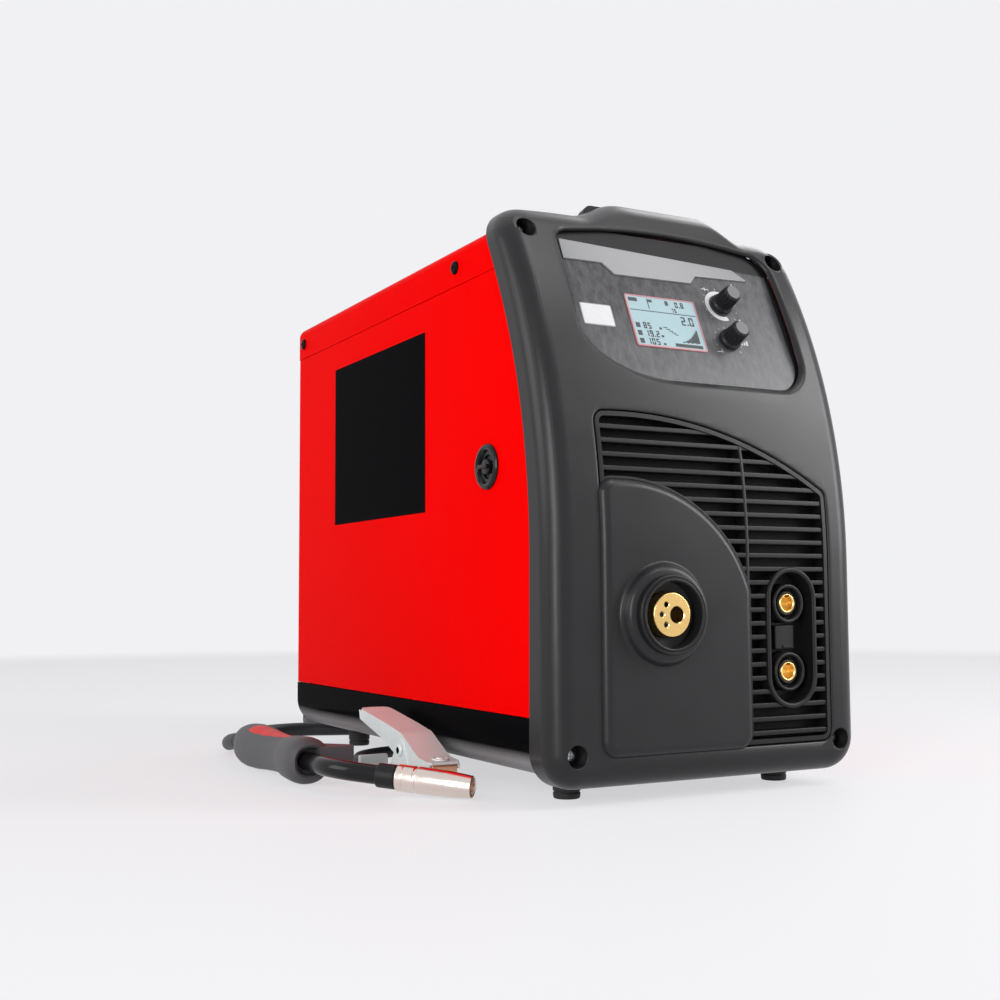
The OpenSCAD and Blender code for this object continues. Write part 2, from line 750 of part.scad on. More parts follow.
// ---- handle ----
grip_w = 34;
grip_t = 15;
grip_front = face_y(bezel_top, lip_r) + seam;
grip_rear = trough_rear + 34;
module grip_outline() {
    round_rect(-grip_w / 2, hump_top - grip_t, grip_w / 2, hump_top, 6);
}
module carry_handle() {
    color(moulded_black) union() {
        along_y(grip_front, grip_rear) grip_outline();
        // front and rear posts on the top cover
        along_y(grip_front, trough_front - 8) round_rect(-grip_w / 2, cover_top, grip_w / 2, hump_top - 5, 5);
        along_y(trough_rear + 8, grip_rear) round_rect(-grip_w / 2, cover_top, grip_w / 2, hump_top - 5, 5);
        along_z(cover_top, cover_top + 4) round_rect(-30, trough_rear + 8, 30, grip_rear, 6);
        // ribs under the grip
        for (i = [0 : 9])
            along_y(trough_front + 20 + i * 20, trough_front + 24 + i * 20)
                round_rect(-grip_w / 2 + 2, hump_top - grip_t - 1.5, grip_w / 2 - 2, hump_top - 5, 4);
    }
}
module rubber_feet() {
    color([0.05, 0.05, 0.05]) for (x = [-1, 1], y = [-1, 1])
        translate([x * foot_dx / 2, y * foot_dy / 2, 0]) difference() {
            cylinder(r1 = foot_d / 2 - 1, r2 = foot_d / 2, h = pan_z);
            translate([0, 0, -1]) cylinder(r = foot_screw_r, h = pan_z + 2);
        }
}
cover_screw_ys = [rear_y - 12, front_y + 130];
cover_screw_z = cover_top - 16;
rear_screw_places = [[-95, 352], [95, 352], [-88, 30], [88, 30]];
module pan_head(r, l) {
    rotate([90, 0, 0]) union() {
        cylinder(r = r * 2, h = 2.2);
        translate([0, 0, -l]) cylinder(r = r, h = l);
    }
}
module case_screws() {
    color([0.1, 0.1, 0.1]) union() {
        bezel_screw_places() translate([0, bezel_screw_seat, 0]) pan_head(case_screw_r, 16);
        for (p = rear_screw_places)
            translate([p[0], rear_out, p[1]]) rotate([0, 0, 180]) pan_head(case_screw_r, 2);
        for (y = cover_screw_ys, s = [-1, 1])
            translate([s * side_x, y, cover_screw_z]) rotate([0, 0, s * 90]) pan_head(case_screw_r, 5);
    }
}

// ---- side door ----
hinge_x = -side_x + 3.5;
hinge_y = rear_y - 4.5;
hinge_r = 2;
door_low = pan_top + seam;
door_high = flange_z - seam;
door_rear = rear_y - 1;
door_r = sheet_r - 0.2;
latch_r = 8;
module side_door() {
    color(paint_red) difference() {
        union() {
            along_x(-side_x, -inner_x) intersection() {
                curve_area(door_r, door_low, door_high);
                translate([front_y, 0]) square([door_rear - front_y, 400]);
            }
            // stiffening flanges along the edges
            box([-inner_x, front_y + 50, door_low], [-inner_x + 7, hinge_y - 8, door_low + sheet_t]);
            box([-inner_x, front_y + 90, door_high - sheet_t], [-inner_x + 7, hinge_y - 8, door_high]);
            box([-inner_x, door_rear - sheet_t, door_low], [-inner_x + 3.5, door_rear, door_high]);
            // hinge lugs
            for (z = [door_low + 0.3, door_high - 12.3]) union() {
                rod_z(z, z + 12, hinge_x, hinge_y, 2.9);
                box([-inner_x, hinge_y - 2.9, z], [hinge_x, hinge_y, z + 12]);
            }
        }
        rod_x(-side_x - 1, -inner_x + 1, latch_y, latch_z, latch_r + gap);
        rod_z(door_low - 1, door_high + 1, hinge_x, hinge_y, hinge_r + run_gap);
    }
}
// Pins stand on the pan wall and hang from the cover flange
module hinge_pins() {
    color([0.6, 0.6, 0.62]) union() {
        for (s = [0, 1]) {
            z = s == 0 ? pan_top - 8 : flange_z - 12;
            rod_z(z, z + 20.2, hinge_x, hinge_y, hinge_r);
        }
        box([-inner_x, hinge_y - 10, pan_top - 8], [hinge_x + 2.5, hinge_y + 2.5, pan_top]);
        box([-inner_x, hinge_y - 10, flange_z], [hinge_x + 2.5, hinge_y + 2.5, flange_z + 8]);
    }
}
latch_ring_r = 14;
module latch_bezel() {
    color([0.04, 0.04, 0.045]) difference() {
        union() {
            translate([-side_x, latch_y, latch_z]) rotate([0, -90, 0]) cylinder(r1 = latch_ring_r, r2 = latch_ring_r - 2, h = 2.4);
            rod_x(-side_x - 0.5, -inner_x + 3, latch_y, latch_z, latch_r);
        }
        translate([-side_x - 3, latch_y, latch_z]) rotate([0, 90, 0]) cylinder(r1 = 10.5, r2 = 5, h = 3);
        rod_x(-side_x - 5, -inner_x + 5, latch_y, latch_z, 3.5 + run_gap);
    }
}
module latch_knob() {
    color([0.03, 0.03, 0.03]) union() {
        rod_x(-side_x - 1, -inner_x + 5.5, latch_y, latch_z, 3.5);
        translate([-side_x - 3, latch_y, latch_z]) sphere(r = 4.6);
        box([-side_x - 6.5, latch_y - 1.3, latch_z - 6.2], [-side_x - 1, latch_y + 1.3, latch_z + 6.2]);
        // cam behind the door
        box([-inner_x + 7.4, latch_y - 5, latch_z - 5], [-inner_x + 9.4, latch_y + 5, latch_z + 22]);
        rod_x(-inner_x + 5, -inner_x + 9.4, latch_y, latch_z, 5);
    }
}

// ================= sockets =================
collar_h = 12.5;
collar_y = pod_y - collar_h;
contact_r = 14;
contact_face_y = collar_y + 3;
contact_back_y = front_y + 40;
pin_bore_r = 5;
pin_bore_x = -torch_x + 3.5;
module torch_socket() {
    color([0.04, 0.04, 0.045]) difference() {
        union() {
            rod_y(collar_y, pod_y - boss_h, -torch_x, torch_z, socket_flange_r);
            rod_y(pod_y - boss_h, front_y + 12, -torch_x, torch_z, socket_barrel_r);
        }
        rod_y(collar_y - 1, pod_y - 1, -torch_x, torch_z, 20.5);
        rod_y(pod_y - 2, front_y + 13, -torch_x, torch_z, contact_r);
    }
}
module torch_contact() {
    color([0.8, 0.6, 0.25]) difference() {
        rod_y(contact_face_y, contact_back_y, -torch_x, torch_z, contact_r);
        rod_y(contact_face_y - 1, contact_face_y + 25, pin_bore_x, torch_z, pin_bore_r);
        rod_y(contact_face_y + 20, contact_back_y + 1, pin_bore_x, torch_z, 1.5);
        for (p = [[-4.2, 6.3], [-7.6, 0.3], [-4.5, -6]])
            rod_y(contact_face_y - 1, contact_face_y + 14, -torch_x + p[0], torch_z + p[1], 1.6);
    }
}
output_body_r = 12.8;
module output_places() {
    for (s = [-1, 1]) translate([socket_x, 0, socket_z + s * socket_pitch / 2]) children();
}
output_front = front_y + 3;
output_back = front_y + 34;
module output_sockets() {
    color([0.05, 0.05, 0.055]) output_places() difference() {
        union() {
            rod_y(output_front, output_back - 6, 0, 0, output_body_r);
            rod_y(front_y + cup_depth + cup_wall, front_y + cup_depth + cup_wall + 4, 0, 0, output_body_r + 2.5);
        }
        rod_y(output_front - 1, output_front + 6, 0, 0, output_body_r - 2.4);
        rod_y(output_front, output_back, 0, 0, 6.5);
    }
}
module output_contacts() {
    color([0.82, 0.62, 0.25]) output_places() difference() {
        rod_y(output_front + 1.5, output_back, 0, 0, 6.5);
        rod_y(output_front, output_front + 23, 0, 0, socket_bore_d / 2);
    }
}

// ================= wire feed =================
feed_x = pin_bore_x;
feed_y = -115;
wire_z = torch_z;
drive_z = wire_z - wire_d / 2 - drive_roll_d / 2 + 0.6;
pressure_z = wire_z + wire_d / 2 + pressure_roll_d / 2;
plate_x0 = -20;
plate_x1 = -14;
arm_pivot = [-75, pressure_z + 1];
lever_pivot = [-150, 78];
lever_x = feed_x - 21;
pin_r = 3;
arm_top = wire_z + 35.5;
arm_low = arm_top - 10;
shaft_r = 4;
module feeder_plate() {
    color([0.62, 0.63, 0.65]) difference() {
        union() {
            along_x(plate_x0, plate_x1) round_rect(-168, 60, -60, 140, 6);
            // stand-offs on the partition
            for (y = [-160, -68], z = [68, 132])
                rod_x(plate_x1 - eps, partition_x, y, z, 5);
            // fixed pins of the pressure arm and of the tension lever
            rod_x(feed_x - 7.5, plate_x0 + eps, arm_pivot[0], arm_pivot[1], pin_r);
            rod_x(lever_x - 5, plate_x0 + eps, lever_pivot[0], lever_pivot[1], pin_r);
            rod_x(lever_x + 5, plate_x0 + eps, lever_pivot[0], lever_pivot[1], pin_r + 2);
            rod_x(feed_x + 7.5, plate_x0 + eps, arm_pivot[0], arm_pivot[1], pin_r + 2);
        }
        rod_x(plate_x0 - 1, plate_x1 + 1, feed_y, drive_z, shaft_r + run_gap);
    }
}
gear_case_x0 = partition_x + partition_t;
module feed_motor() {
    color([0.3, 0.3, 0.32]) difference() {
        union() {
            along_x(gear_case_x0, gear_case_x0 + 26) round_rect(feed_y - 32, drive_z - 32, feed_y + 32, drive_z + 32, 8);
            rod_x(gear_case_x0 + 26, gear_case_x0 + 96, feed_y, drive_z, 28);
            rod_x(gear_case_x0 + 96, gear_case_x0 + 100, feed_y, drive_z, 10);
        }
        rod_x(gear_case_x0 - 1, gear_case_x0 + 16, feed_y, drive_z, shaft_r + run_gap);
    }
}
roll_w = 10;
module drive_roll() {
    color([0.6, 0.6, 0.62]) translate([feed_x, feed_y, drive_z]) rotate([0, 90, 0]) rotate_extrude()
        polygon([
            [0, -roll_w / 2 - 8], [7, -roll_w / 2 - 8], [7, -roll_w / 2], [drive_roll_d / 2, -roll_w / 2],
            [drive_roll_d / 2, -1], [drive_roll_d / 2 - 0.6, -0.4], [drive_roll_d / 2 - 0.6, 0.4], [drive_roll_d / 2, 1],
            [drive_roll_d / 2, roll_w / 2], [shaft_r, roll_w / 2],
            [shaft_r, -feed_x + gear_case_x0 + 15], [0, -feed_x + gear_case_x0 + 15]
        ]);
}
cheek_t = 2.5;
roll_side = 0.4;
pressure_w = 8;
arm_half = pressure_w / 2 + roll_side + cheek_t;
module pressure_arm() {
    color([0.15, 0.15, 0.16]) difference() {
        union() {
            along_x(feed_x - arm_half, feed_x + arm_half) union() {
                translate(arm_pivot) circle(r = 8);
                translate([feed_y, pressure_z]) circle(r = 6.5);
                polygon([[arm_pivot[0] + 5, arm_top - 6], [arm_pivot[0] + 5, arm_pivot[1]], [arm_pivot[0] - 8, arm_pivot[1]],
                    [arm_pivot[0] - 14, arm_low], [-158, arm_low], [-158, arm_top], [arm_pivot[0] - 2, arm_top]]);
                translate([feed_y - 6, pressure_z]) square([12, arm_low - pressure_z + 2]);
            }
            along_x(lever_x - 7, feed_x) translate([-158, arm_low]) square([12, arm_top - arm_low]);
        }
        // pocket of the pressure roll
        rod_x(feed_x - pressure_w / 2 - roll_side, feed_x + pressure_w / 2 + roll_side, feed_y, pressure_z, pressure_roll_d / 2 + 1);
        rod_x(feed_x - 20, feed_x + 20, arm_pivot[0], arm_pivot[1], pin_r + run_gap);
        rod_x(feed_x - 20, feed_x + 20, feed_y, pressure_z, 2.5 + run_gap);
        // open slot for the tension lever's rod
        box([lever_x - 3.4, -160, arm_low - 1], [lever_x + 3.4, -146.4, arm_top + 1]);
    }
}
module pressure_roll() {
    color([0.65, 0.65, 0.67]) union() {
        rod_x(feed_x - pressure_w / 2, feed_x + pressure_w / 2, feed_y, pressure_z, pressure_roll_d / 2);
        rod_x(feed_x - arm_half - 1, feed_x + arm_half + 1, feed_y, pressure_z, 2.5);
    }
}
lever_rod_r = 2.75;
knob_low = arm_top + 20;
module tension_lever() {
    color([0.1, 0.1, 0.1]) difference() {
        union() {
            rod_x(lever_x - 4, lever_x + 4, lever_pivot[0], lever_pivot[1], 6.5);
            rod_z(lever_pivot[1] + 4, knob_low + 2, lever_x, lever_pivot[0], lever_rod_r);
            rod_z(knob_low, knob_low + 22, lever_x, lever_pivot[0], 8);
            for (a = [0 : 45 : 315]) translate([lever_x, lever_pivot[0], knob_low + 3]) rotate([0, 0, a])
                translate([7.4, 0, 0]) cylinder(r = 1.4, h = 18, $fn = 16);
        }
        rod_x(lever_x - 10, lever_x + 10, lever_pivot[0], lever_pivot[1], pin_r + run_gap);
    }
}
module tension_spring() {
    color([0.7, 0.7, 0.7]) for (i = [0 : 4])
        translate([lever_x, lever_pivot[0], arm_top + 1.3 + i * 4.3]) rotate_extrude()
            translate([4.6, 0]) circle(r = 1, $fn = 16);
}
module wire_guides() {
    color([0.7, 0.55, 0.25]) difference() {
        union() {
            for (y = [[-99, -50], [contact_back_y, -131]]) rod_y(min(y), max(y), feed_x, wire_z, 3);
            for (y = [-66, -148]) box([feed_x - 3, y - 4, wire_z - 3], [plate_x0, y + 4, wire_z + 3]);
        }
        rod_y(contact_back_y - 1, 0, feed_x, wire_z, 1);
    }
}
spool_y = 80;
spool_z = 165;
hub_r = spool_bore_d / 2 - run_gap;
spool_x1 = partition_x - 7;
spool_x0 = spool_x1 - spool_w;
module spool_hub() {
    color([0.12, 0.12, 0.13]) union() {
        rod_x(spool_x1 + 0.4, partition_x, spool_y, spool_z, 34);
        rod_x(spool_x0 - 0.4, spool_x1 + 0.4, spool_y, spool_z, hub_r);
        difference() {
            rod_x(spool_x0 - 8, spool_x0 - 0.4, spool_y, spool_z, 31);
            for (a = [0 : 60 : 300]) translate([0, spool_y, spool_z]) rotate([a, 0, 0])
                rod_x(spool_x0 - 9, spool_x0 - 3, 34, 0, 8);
        }
    }
}
flange_t = 3;
drum_r = 46;
module wire_spool() {
    color([0.1, 0.1, 0.1]) difference() {
        union() {
            rod_x(spool_x0, spool_x0 + flange_t, spool_y, spool_z, spool_d / 2);
            rod_x(spool_x1 - flange_t, spool_x1, spool_y, spool_z, spool_d / 2);
            rod_x(spool_x0, spool_x1, spool_y, spool_z, drum_r);
        }
        rod_x(spool_x0 - 1, spool_x1 + 1, spool_y, spool_z, hub_r + run_gap);
        for (a = [0 : 60 : 300]) translate([0, spool_y, spool_z]) rotate([a, 0, 0])
            rod_x(spool_x0 - 1, spool_x0 + flange_t + 0.2, spool_d / 2 - 11, 0, 7);
        for (a = [0 : 60 : 300]) translate([0, spool_y, spool_z]) rotate([a + 30, 0, 0])
            rod_x(spool_x0 - 1, spool_x1 + 1, 35.5, 0, 6);
    }
}
module wound_wire() {
    color([0.72, 0.45, 0.3]) difference() {
        rod_x(spool_x0 + flange_t, spool_x1 - flange_t, spool_y, spool_z, spool_d / 2 - 19);
        rod_x(spool_x0, spool_x1, spool_y, spool_z, drum_r);
    }
}

// ================= power electronics =================
heat_x0 = 7;
fin_t = 2.9;
fin_count = 12;
fin_pitch = 7.8;
heat_w = (fin_count - 1) * fin_pitch + fin_t;
heat_y0 = -60;
heat_y1 = 92;
heat_top = 84;
module heatsink() {
    color([0.75, 0.76, 0.78]) union() {
        box([heat_x0, heat_y0, heat_top - 8], [heat_x0 + heat_w, heat_y1, heat_top]);
        for (i = [0 : fin_count - 1])
            box([heat_x0 + i * fin_pitch, heat_y0, pan_floor + 4], [heat_x0 + i * fin_pitch + fin_t, heat_y1, heat_top - 8]);
        for (x = [heat_x0, heat_x0 + heat_w - fin_t])
            box([x, heat_y0, pan_floor], [x + fin_t, heat_y1, pan_floor + 4.1]);
    }
}
module inverter_board() {
    color([0.06, 0.32, 0.14]) union() {
        box([2, -76, heat_top + 18], [inner_x - 4, 150, heat_top + 20]);
        // transistor blocks that clamp the board to the heatsink
        for (y = [-40, 0, 40]) box([30, y, heat_top], [86, y + 24, heat_top + 18]);
        // reservoir capacitors and the output choke
        for (x = [24, 58, 92], y = [-52, -18]) rod_z(heat_top + 20, heat_top + 62, x, y, 15);
        difference() {
            rod_z(heat_top + 20, heat_top + 48, 50, 66, 34);
            rod_z(heat_top + 22, heat_top + 60, 50, 66, 13);
        }
    }
}
// Both boards: the one behind the control panel and the inverter on its heatsink
module circuit_boards() {
    panel_board();
    inverter_board();
}
module main_transformer() {
    color([0.2, 0.2, 0.2]) union() {
        box([18, 104, pan_floor], [90, 122, 80]);
        box([18, 150, pan_floor], [90, 168, 80]);
        box([18, 122, pan_floor], [30, 150, 80]);
        box([78, 122, pan_floor], [90, 150, 80]);
        rod_z(pan_floor, 80, 54, 136, 22);
    }
}

// ================= torch =================
torch_out = 86.5;
torch_axis_x = -side_x - torch_out;
torch_rear_y = 93;
torch_front_y = torch_rear_y - torch_l;
torch_axis_z = 16;
// Stations along the handle: [distance from the rear, half width, half height]
handle_stations = [
    [0, 9, 9], [3, 12.5, 12.5], [9, 14.5, 15], [20, 15.5, 16], [36, 15, 15.6], [55, 13.6, 14.2],
    [74, 12.8, 13.2], [92, 12.8, 13], [104, 13.6, 13.8], [113, 14.8, 14.8], [120, 15.5, 15.5],
    [128, 15.5, 15.5], [132, 14.4, 14.4], [135, 12, 12]
];
module handle_form(grow, d0, d1) {
    skin([for (s = handle_stations) if (s[0] >= d0 && s[0] <= d1)
        let (y = torch_rear_y - s[0] * torch_l / 135)
        [for (k = [0 : 23]) let (a = -15 * k)
            [torch_axis_x + (s[1] + grow) * cos(a), y, torch_axis_z + (s[2] + grow) * sin(a)]]]);
}
trigger_y = torch_front_y + 38;
trigger_x = torch_axis_x + 11;
module torch_handle() {
    color([0.2, 0.2, 0.21]) difference() {
        union() {
            handle_form(0, 0, 135);
            // strain relief of the cable
            translate([torch_axis_x, torch_rear_y - 2, torch_axis_z]) rotate([-90, 0, 0])
                cylinder(r1 = 9.5, r2 = torch_cable_d / 2 + 1.2, h = 29);
            // guard in front of the trigger
            along_z(torch_axis_z - 5, torch_axis_z + 5)
                polygon([[torch_axis_x + 8, torch_front_y + 14], [torch_axis_x + 22, torch_front_y + 7],
                    [torch_axis_x + 23, torch_front_y + 9], [torch_axis_x + 14, torch_front_y + 20]]);
        }
        // slot of the trigger
        box([torch_axis_x + 5, torch_front_y + 21, torch_axis_z - 5.3], [torch_axis_x + 30, torch_front_y + 66, torch_axis_z + 5.3]);
        rod_y(torch_front_y - 1, torch_front_y + 24, torch_axis_x, torch_axis_z, neck_r + gap);
        rod_z(torch_axis_z - 7.5, torch_axis_z + 7.5, trigger_x, trigger_pin_y, 2 + run_gap);
    }
}
neck_r = 6.2;
trigger_pin_y = torch_front_y + 62;
module torch_trigger() {
    color([0.05, 0.05, 0.05]) union() {
        along_z(torch_axis_z - 4.9, torch_axis_z + 4.9)
            polygon([[trigger_x - 1, trigger_pin_y + 2.4], [trigger_x + 2.2, trigger_pin_y + 2.4],
                [torch_axis_x + 17.5, trigger_pin_y - 6], [torch_axis_x + 19.5, torch_front_y + 40],
                [torch_axis_x + 19, torch_front_y + 24], [torch_axis_x + 15.5, torch_front_y + 23],
                [torch_axis_x + 14, torch_front_y + 30], [trigger_x, torch_front_y + 44]]);
        rod_z(torch_axis_z - 7, torch_axis_z + 7, trigger_x, trigger_pin_y, 2);
    }
}
// Soft insert let into the top of the handle
module torch_grip() {
    color([0.75, 0.1, 0.1]) difference() {
        intersection() {
            handle_form(0.8, 3, 113);
            along_y(torch_rear_y - 84, torch_rear_y - 12)
                round_rect(torch_axis_x - 8, torch_axis_z + 9, torch_axis_x + 4, torch_axis_z + 20, 2);
        }
        handle_form(0, 0, 135);
    }
}
neck_bend = 45;
neck_bend_r = 45;
neck_start_y = torch_front_y - 22;
insulator_l = 12;
// Tilt that lets the nozzle's tip down to the floor
neck_tilt = 7;
// Frame at the middle of the neck's bend
module at_neck() {
    translate([torch_axis_x, neck_start_y, torch_axis_z]) rotate([0, neck_tilt, 0])
        translate([neck_bend_r, 0, 0]) children();
}
// Frame at the end of the neck's bend, with -Y along the nozzle
module at_nozzle() {
    at_neck() rotate([0, 0, neck_bend]) translate([-neck_bend_r, 0, 0]) children();
}
module torch_neck() {
    color([0.04, 0.04, 0.04]) union() {
        rod_y(neck_start_y, torch_front_y + 24, torch_axis_x, torch_axis_z, neck_r);
        at_neck() rotate([0, 0, 180])
            rotate_extrude(angle = neck_bend) translate([neck_bend_r, 0]) circle(r = neck_r);
        at_nozzle() rod_y(-15, 0, 0, 0, neck_r);
        // collars over the two ends of the bend
        rod_y(neck_start_y - 0.8, neck_start_y + 0.8, torch_axis_x, torch_axis_z, neck_r + 0.3);
        at_nozzle() rod_y(-0.8, 0.8, 0, 0, neck_r + 0.3);
        at_nozzle() rod_y(-15 - insulator_l, -14, 0, 0, 7.8);
    }
}
nozzle_start = -15 - insulator_l;
module torch_nozzle() {
    color([0.75, 0.65, 0.6]) at_nozzle() union() {
        difference() {
            union() {
                rod_y(nozzle_start - 12, nozzle_start, 0, 0, nozzle_d / 2);
                rod_y(nozzle_start - 14, nozzle_start - 12, 0, 0, nozzle_d / 2 - 0.5);
                translate([0, nozzle_start - 14, 0]) rotate([90, 0, 0])
                    cylinder(r1 = nozzle_d / 2, r2 = nozzle_d / 2 - 1.5, h = nozzle_l - 14);
            }
            rod_y(nozzle_start - nozzle_l - 1, nozzle_start - 4, 0, 0, nozzle_d / 2 - 2.4);
        }
        // gas diffuser and contact tip inside the nozzle
        rod_y(nozzle_start - 22, nozzle_start, 0, 0, 4.4);
        difference() {
            rod_y(nozzle_start - nozzle_l + 3, nozzle_start - 21, 0, 0, 3);
            rod_y(nozzle_start - nozzle_l + 2, nozzle_start - 30, 0, 0, 0.5);
        }
    }
}

// ================= earth clamp =================
clamp_out = 19.5;
clamp_x = -side_x - clamp_out;
clamp_tip_y = -111;
clamp_pivot = [-66, 23];
clamp_rear_y = 20;
clamp_pin_r = 2.5;
plate_t = 2;
module clamp_lower_jaw() {
    color([0.72, 0.75, 0.77]) difference() {
        union() {
            // channel floor, jaw end and handle end
            box([clamp_x - clamp_w / 2, clamp_tip_y, 0], [clamp_x + clamp_w / 2, clamp_rear_y - 8, plate_t]);
            box([clamp_x - clamp_w / 2, clamp_rear_y - 12, 0], [clamp_x + clamp_w / 2, clamp_rear_y - 8, 12]);
            for (s = [-1, 1])
                along_x(clamp_x + s * (clamp_w / 2 - 1) - 1, clamp_x + s * (clamp_w / 2 - 1) + 1) union() {
                    polygon([[-104, 0], [-50, 0], [-20, 0], [-20, 5], [-48, 6], [clamp_pivot[0] + 5, 26], [clamp_pivot[0] - 5, 26], [-80, 8], [-104, 4]]);
                    translate(clamp_pivot) circle(r = 6);
                }
            // copper-faced lower pad
            box([clamp_x - clamp_w / 2 + 3, clamp_tip_y + 1, plate_t], [clamp_x + clamp_w / 2 - 3, clamp_tip_y + 17, 8]);
        }
        rod_x(clamp_x - 30, clamp_x + 30, clamp_pivot[0], clamp_pivot[1], clamp_pin_r + run_gap);
    }
}
upper_half = clamp_w / 2 - 2.5;
module clamp_upper_jaw() {
    color([0.72, 0.75, 0.77]) union() {
        // lever plate from the jaw up to the handle end
        along_x(clamp_x - upper_half - 2, clamp_x + upper_half + 2)
            polygon([[clamp_tip_y, 17], [clamp_tip_y, 19], [-96, 20.5], [-66, 34.5], [clamp_rear_y - 8, 46], [clamp_rear_y, 45],
                [clamp_rear_y, 43], [clamp_rear_y - 8, 44], [-66, 32.5], [-95, 18.5]]);
        for (s = [-1, 1])
            along_x(clamp_x + s * (upper_half - 1) - 1, clamp_x + s * (upper_half - 1) + 1)
                polygon([[clamp_tip_y + 1, 17.5], [-96, 19.5], [-66, 33.5], [clamp_rear_y - 8, 45],
                    [clamp_rear_y - 8, 36], [-40, 26], [clamp_pivot[0] + 6, 18], [clamp_pivot[0] - 6, 16], [-90, 11.5], [clamp_tip_y + 1, 14]]);
        // copper-faced upper pad, closed on the lower one
        box([clamp_x - upper_half + 2.1, clamp_tip_y + 1, 8.4], [clamp_x + upper_half - 2.1, clamp_tip_y + 17, 17.6]);
        rod_x(clamp_x - clamp_w / 2 - 2, clamp_x + clamp_w / 2 + 2, clamp_pivot[0], clamp_pivot[1], clamp_pin_r);
    }
}
module clamp_spring() {
    color([0.1, 0.12, 0.2]) union() {
        for (i = [-2 : 2])
            translate([clamp_x + i * 2.6, clamp_pivot[0], clamp_pivot[1]]) rotate([0, 90, 0])
                rotate_extrude() translate([3.9, 0]) circle(r = 1.2, $fn = 16);
    }
}

// ================= cables =================
// Route of the torch cable from the handle's strain relief to its coil behind the case
torch_route = [
    [-205, 120, 15], [-204, 140, 13], [-200, 162, 9.5], [-192, 184, 7], [-181, 206, 6], [-169, 227, 6],
    [-155, 246, 6], [-137, 261, 6], [-116, 268, 6], [-94, 266, 6], [-72, 257, 6], [-50, 249, 6],
    [-28, 246, 6], [-10, 247, 6]
];
// Route of the earth cable from the clamp, under the case, to its coil
clamp_route = [
    [-138, 12, 6], [-138, 24, 5.7], [-137, 38, 4.8], [-131, 53, 4.5], [-120, 65, 4.5], [-106, 73, 4.5],
    [-90, 78, 4.5], [-70, 84, 4.5], [-48, 94, 4.5], [-24, 108, 4.5], [0, 123, 4.5], [24, 136, 4.5],
    [48, 145, 4.5], [72, 151, 4.5], [96, 158, 4.5], [120, 170, 4.5], [144, 184, 4.5], [168, 197, 4.5],
    [192, 211, 4.5], [212, 227, 4.5], [227, 247, 4.5], [236, 271, 4.5], [239, 297, 4.5], [239.5, 322, 4.5]
];
cord_black = [0.05, 0.05, 0.055];
torch_coil_at = [14, 328];
torch_coil_r = 68;
clamp_coil_at = [176, 346];
clamp_coil_r = 50;
// Closed ring of rectangular section round a coil's turns
module coil_ring(at, mean_r, cols, rows, d) {
    translate([at[0], at[1], 0]) rotate_extrude($fn = 72)
        translate([mean_r - cols * d / 2, 0]) square([cols * d, rows * d]);
}
module torch_cable() {
    color(cord_black) tube(torch_route, torch_cable_d / 2, 10);
}
module torch_coil() {
    color(cord_black) coil_ring(torch_coil_at, torch_coil_r, 3, 2, torch_cable_d);
}
plug_x = 92;
plug_y = 250;
plug_z = 21;
plug_tail = 40;
module torch_plug() {
    color([0.08, 0.08, 0.085]) translate([plug_x, plug_y, plug_z]) rotate([0, 90, 0]) union() {
        // last straight run of the cable, from the coil
        translate([0, 0, -plug_tail]) cylinder(r = torch_cable_d / 2, h = plug_tail + 1);
        cylinder(r1 = 8, r2 = 15, h = 34);
        translate([0, 0, 34]) cylinder(r = 17, h = 22);
        translate([0, 0, 56]) cylinder(r = 20.5, h = 20);
        translate([0, 0, 76]) cylinder(r = 12.5, h = 8);
        translate([0, 3.5, 84]) cylinder(r = 4.5, h = 16);
    }
}
module clamp_cable() {
    color(cord_black) tube(clamp_route, clamp_cable_d / 2, 10);
}
module clamp_coil() {
    color(cord_black) coil_ring(clamp_coil_at, clamp_coil_r, 4, 2, clamp_cable_d);
}
// Current plug of the earth cable; it lies beside the coil and points along -X
earth_plug_at = [140, 409.5, 13.5];
earth_plug_tail = 11.5;
earth_plug_body_r = 13.5;
module clamp_plug() {
    color([0.08, 0.08, 0.085]) translate(earth_plug_at) rotate([0, -90, 0]) union() {
        translate([0, 0, -earth_plug_tail]) cylinder(r = clamp_cable_d / 2, h = earth_plug_tail + 1);
        cylinder(r1 = clamp_cable_d / 2 + 1, r2 = 10, h = 20);
        translate([0, 0, 20]) cylinder(r = earth_plug_body_r, h = 34);
        translate([0, 0, 54]) cylinder(r = 9, h = 4);
        translate([0, 0, 58]) cylinder(r = 4.4, h = 16);
        // bayonet lug of the pin
        translate([3.5, -1.5, 66]) cube([2.6, 3, 4]);
    }
}

base_pan();
centre_partition();
top_cover();
front_bezel();
front_grille();
control_fascia();
fascia_trim();
lcd_window();
circuit_boards();
rear_panel();
carry_handle();
hand_trough();
rubber_feet();
case_screws();
side_door();
latch_bezel();
latch_knob();
hinge_pins();
encoder_upper();
dial_upper();
encoder_lower();
dial_lower();
mains_switch();
switch_rocker();
fan_frame();
fan_rotor();
cable_gland();
gas_valve();
gas_hose();
torch_socket();
torch_contact();
output_sockets();
output_contacts();
feeder_plate();
feed_motor();
drive_roll();
pressure_arm();
pressure_roll();
tension_lever();
tension_spring();
wire_guides();
spool_hub();
wire_spool();
wound_wire();
heatsink();
main_transformer();
torch_handle();
torch_grip();
torch_trigger();
torch_neck();
torch_nozzle();
clamp_lower_jaw();
clamp_upper_jaw();
clamp_spring();
torch_cable();
torch_coil();
torch_plug();
clamp_cable();
clamp_coil();
clamp_plug();
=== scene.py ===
"""Looks of a portable MIG welding machine with its torch and earth clamp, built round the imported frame."""

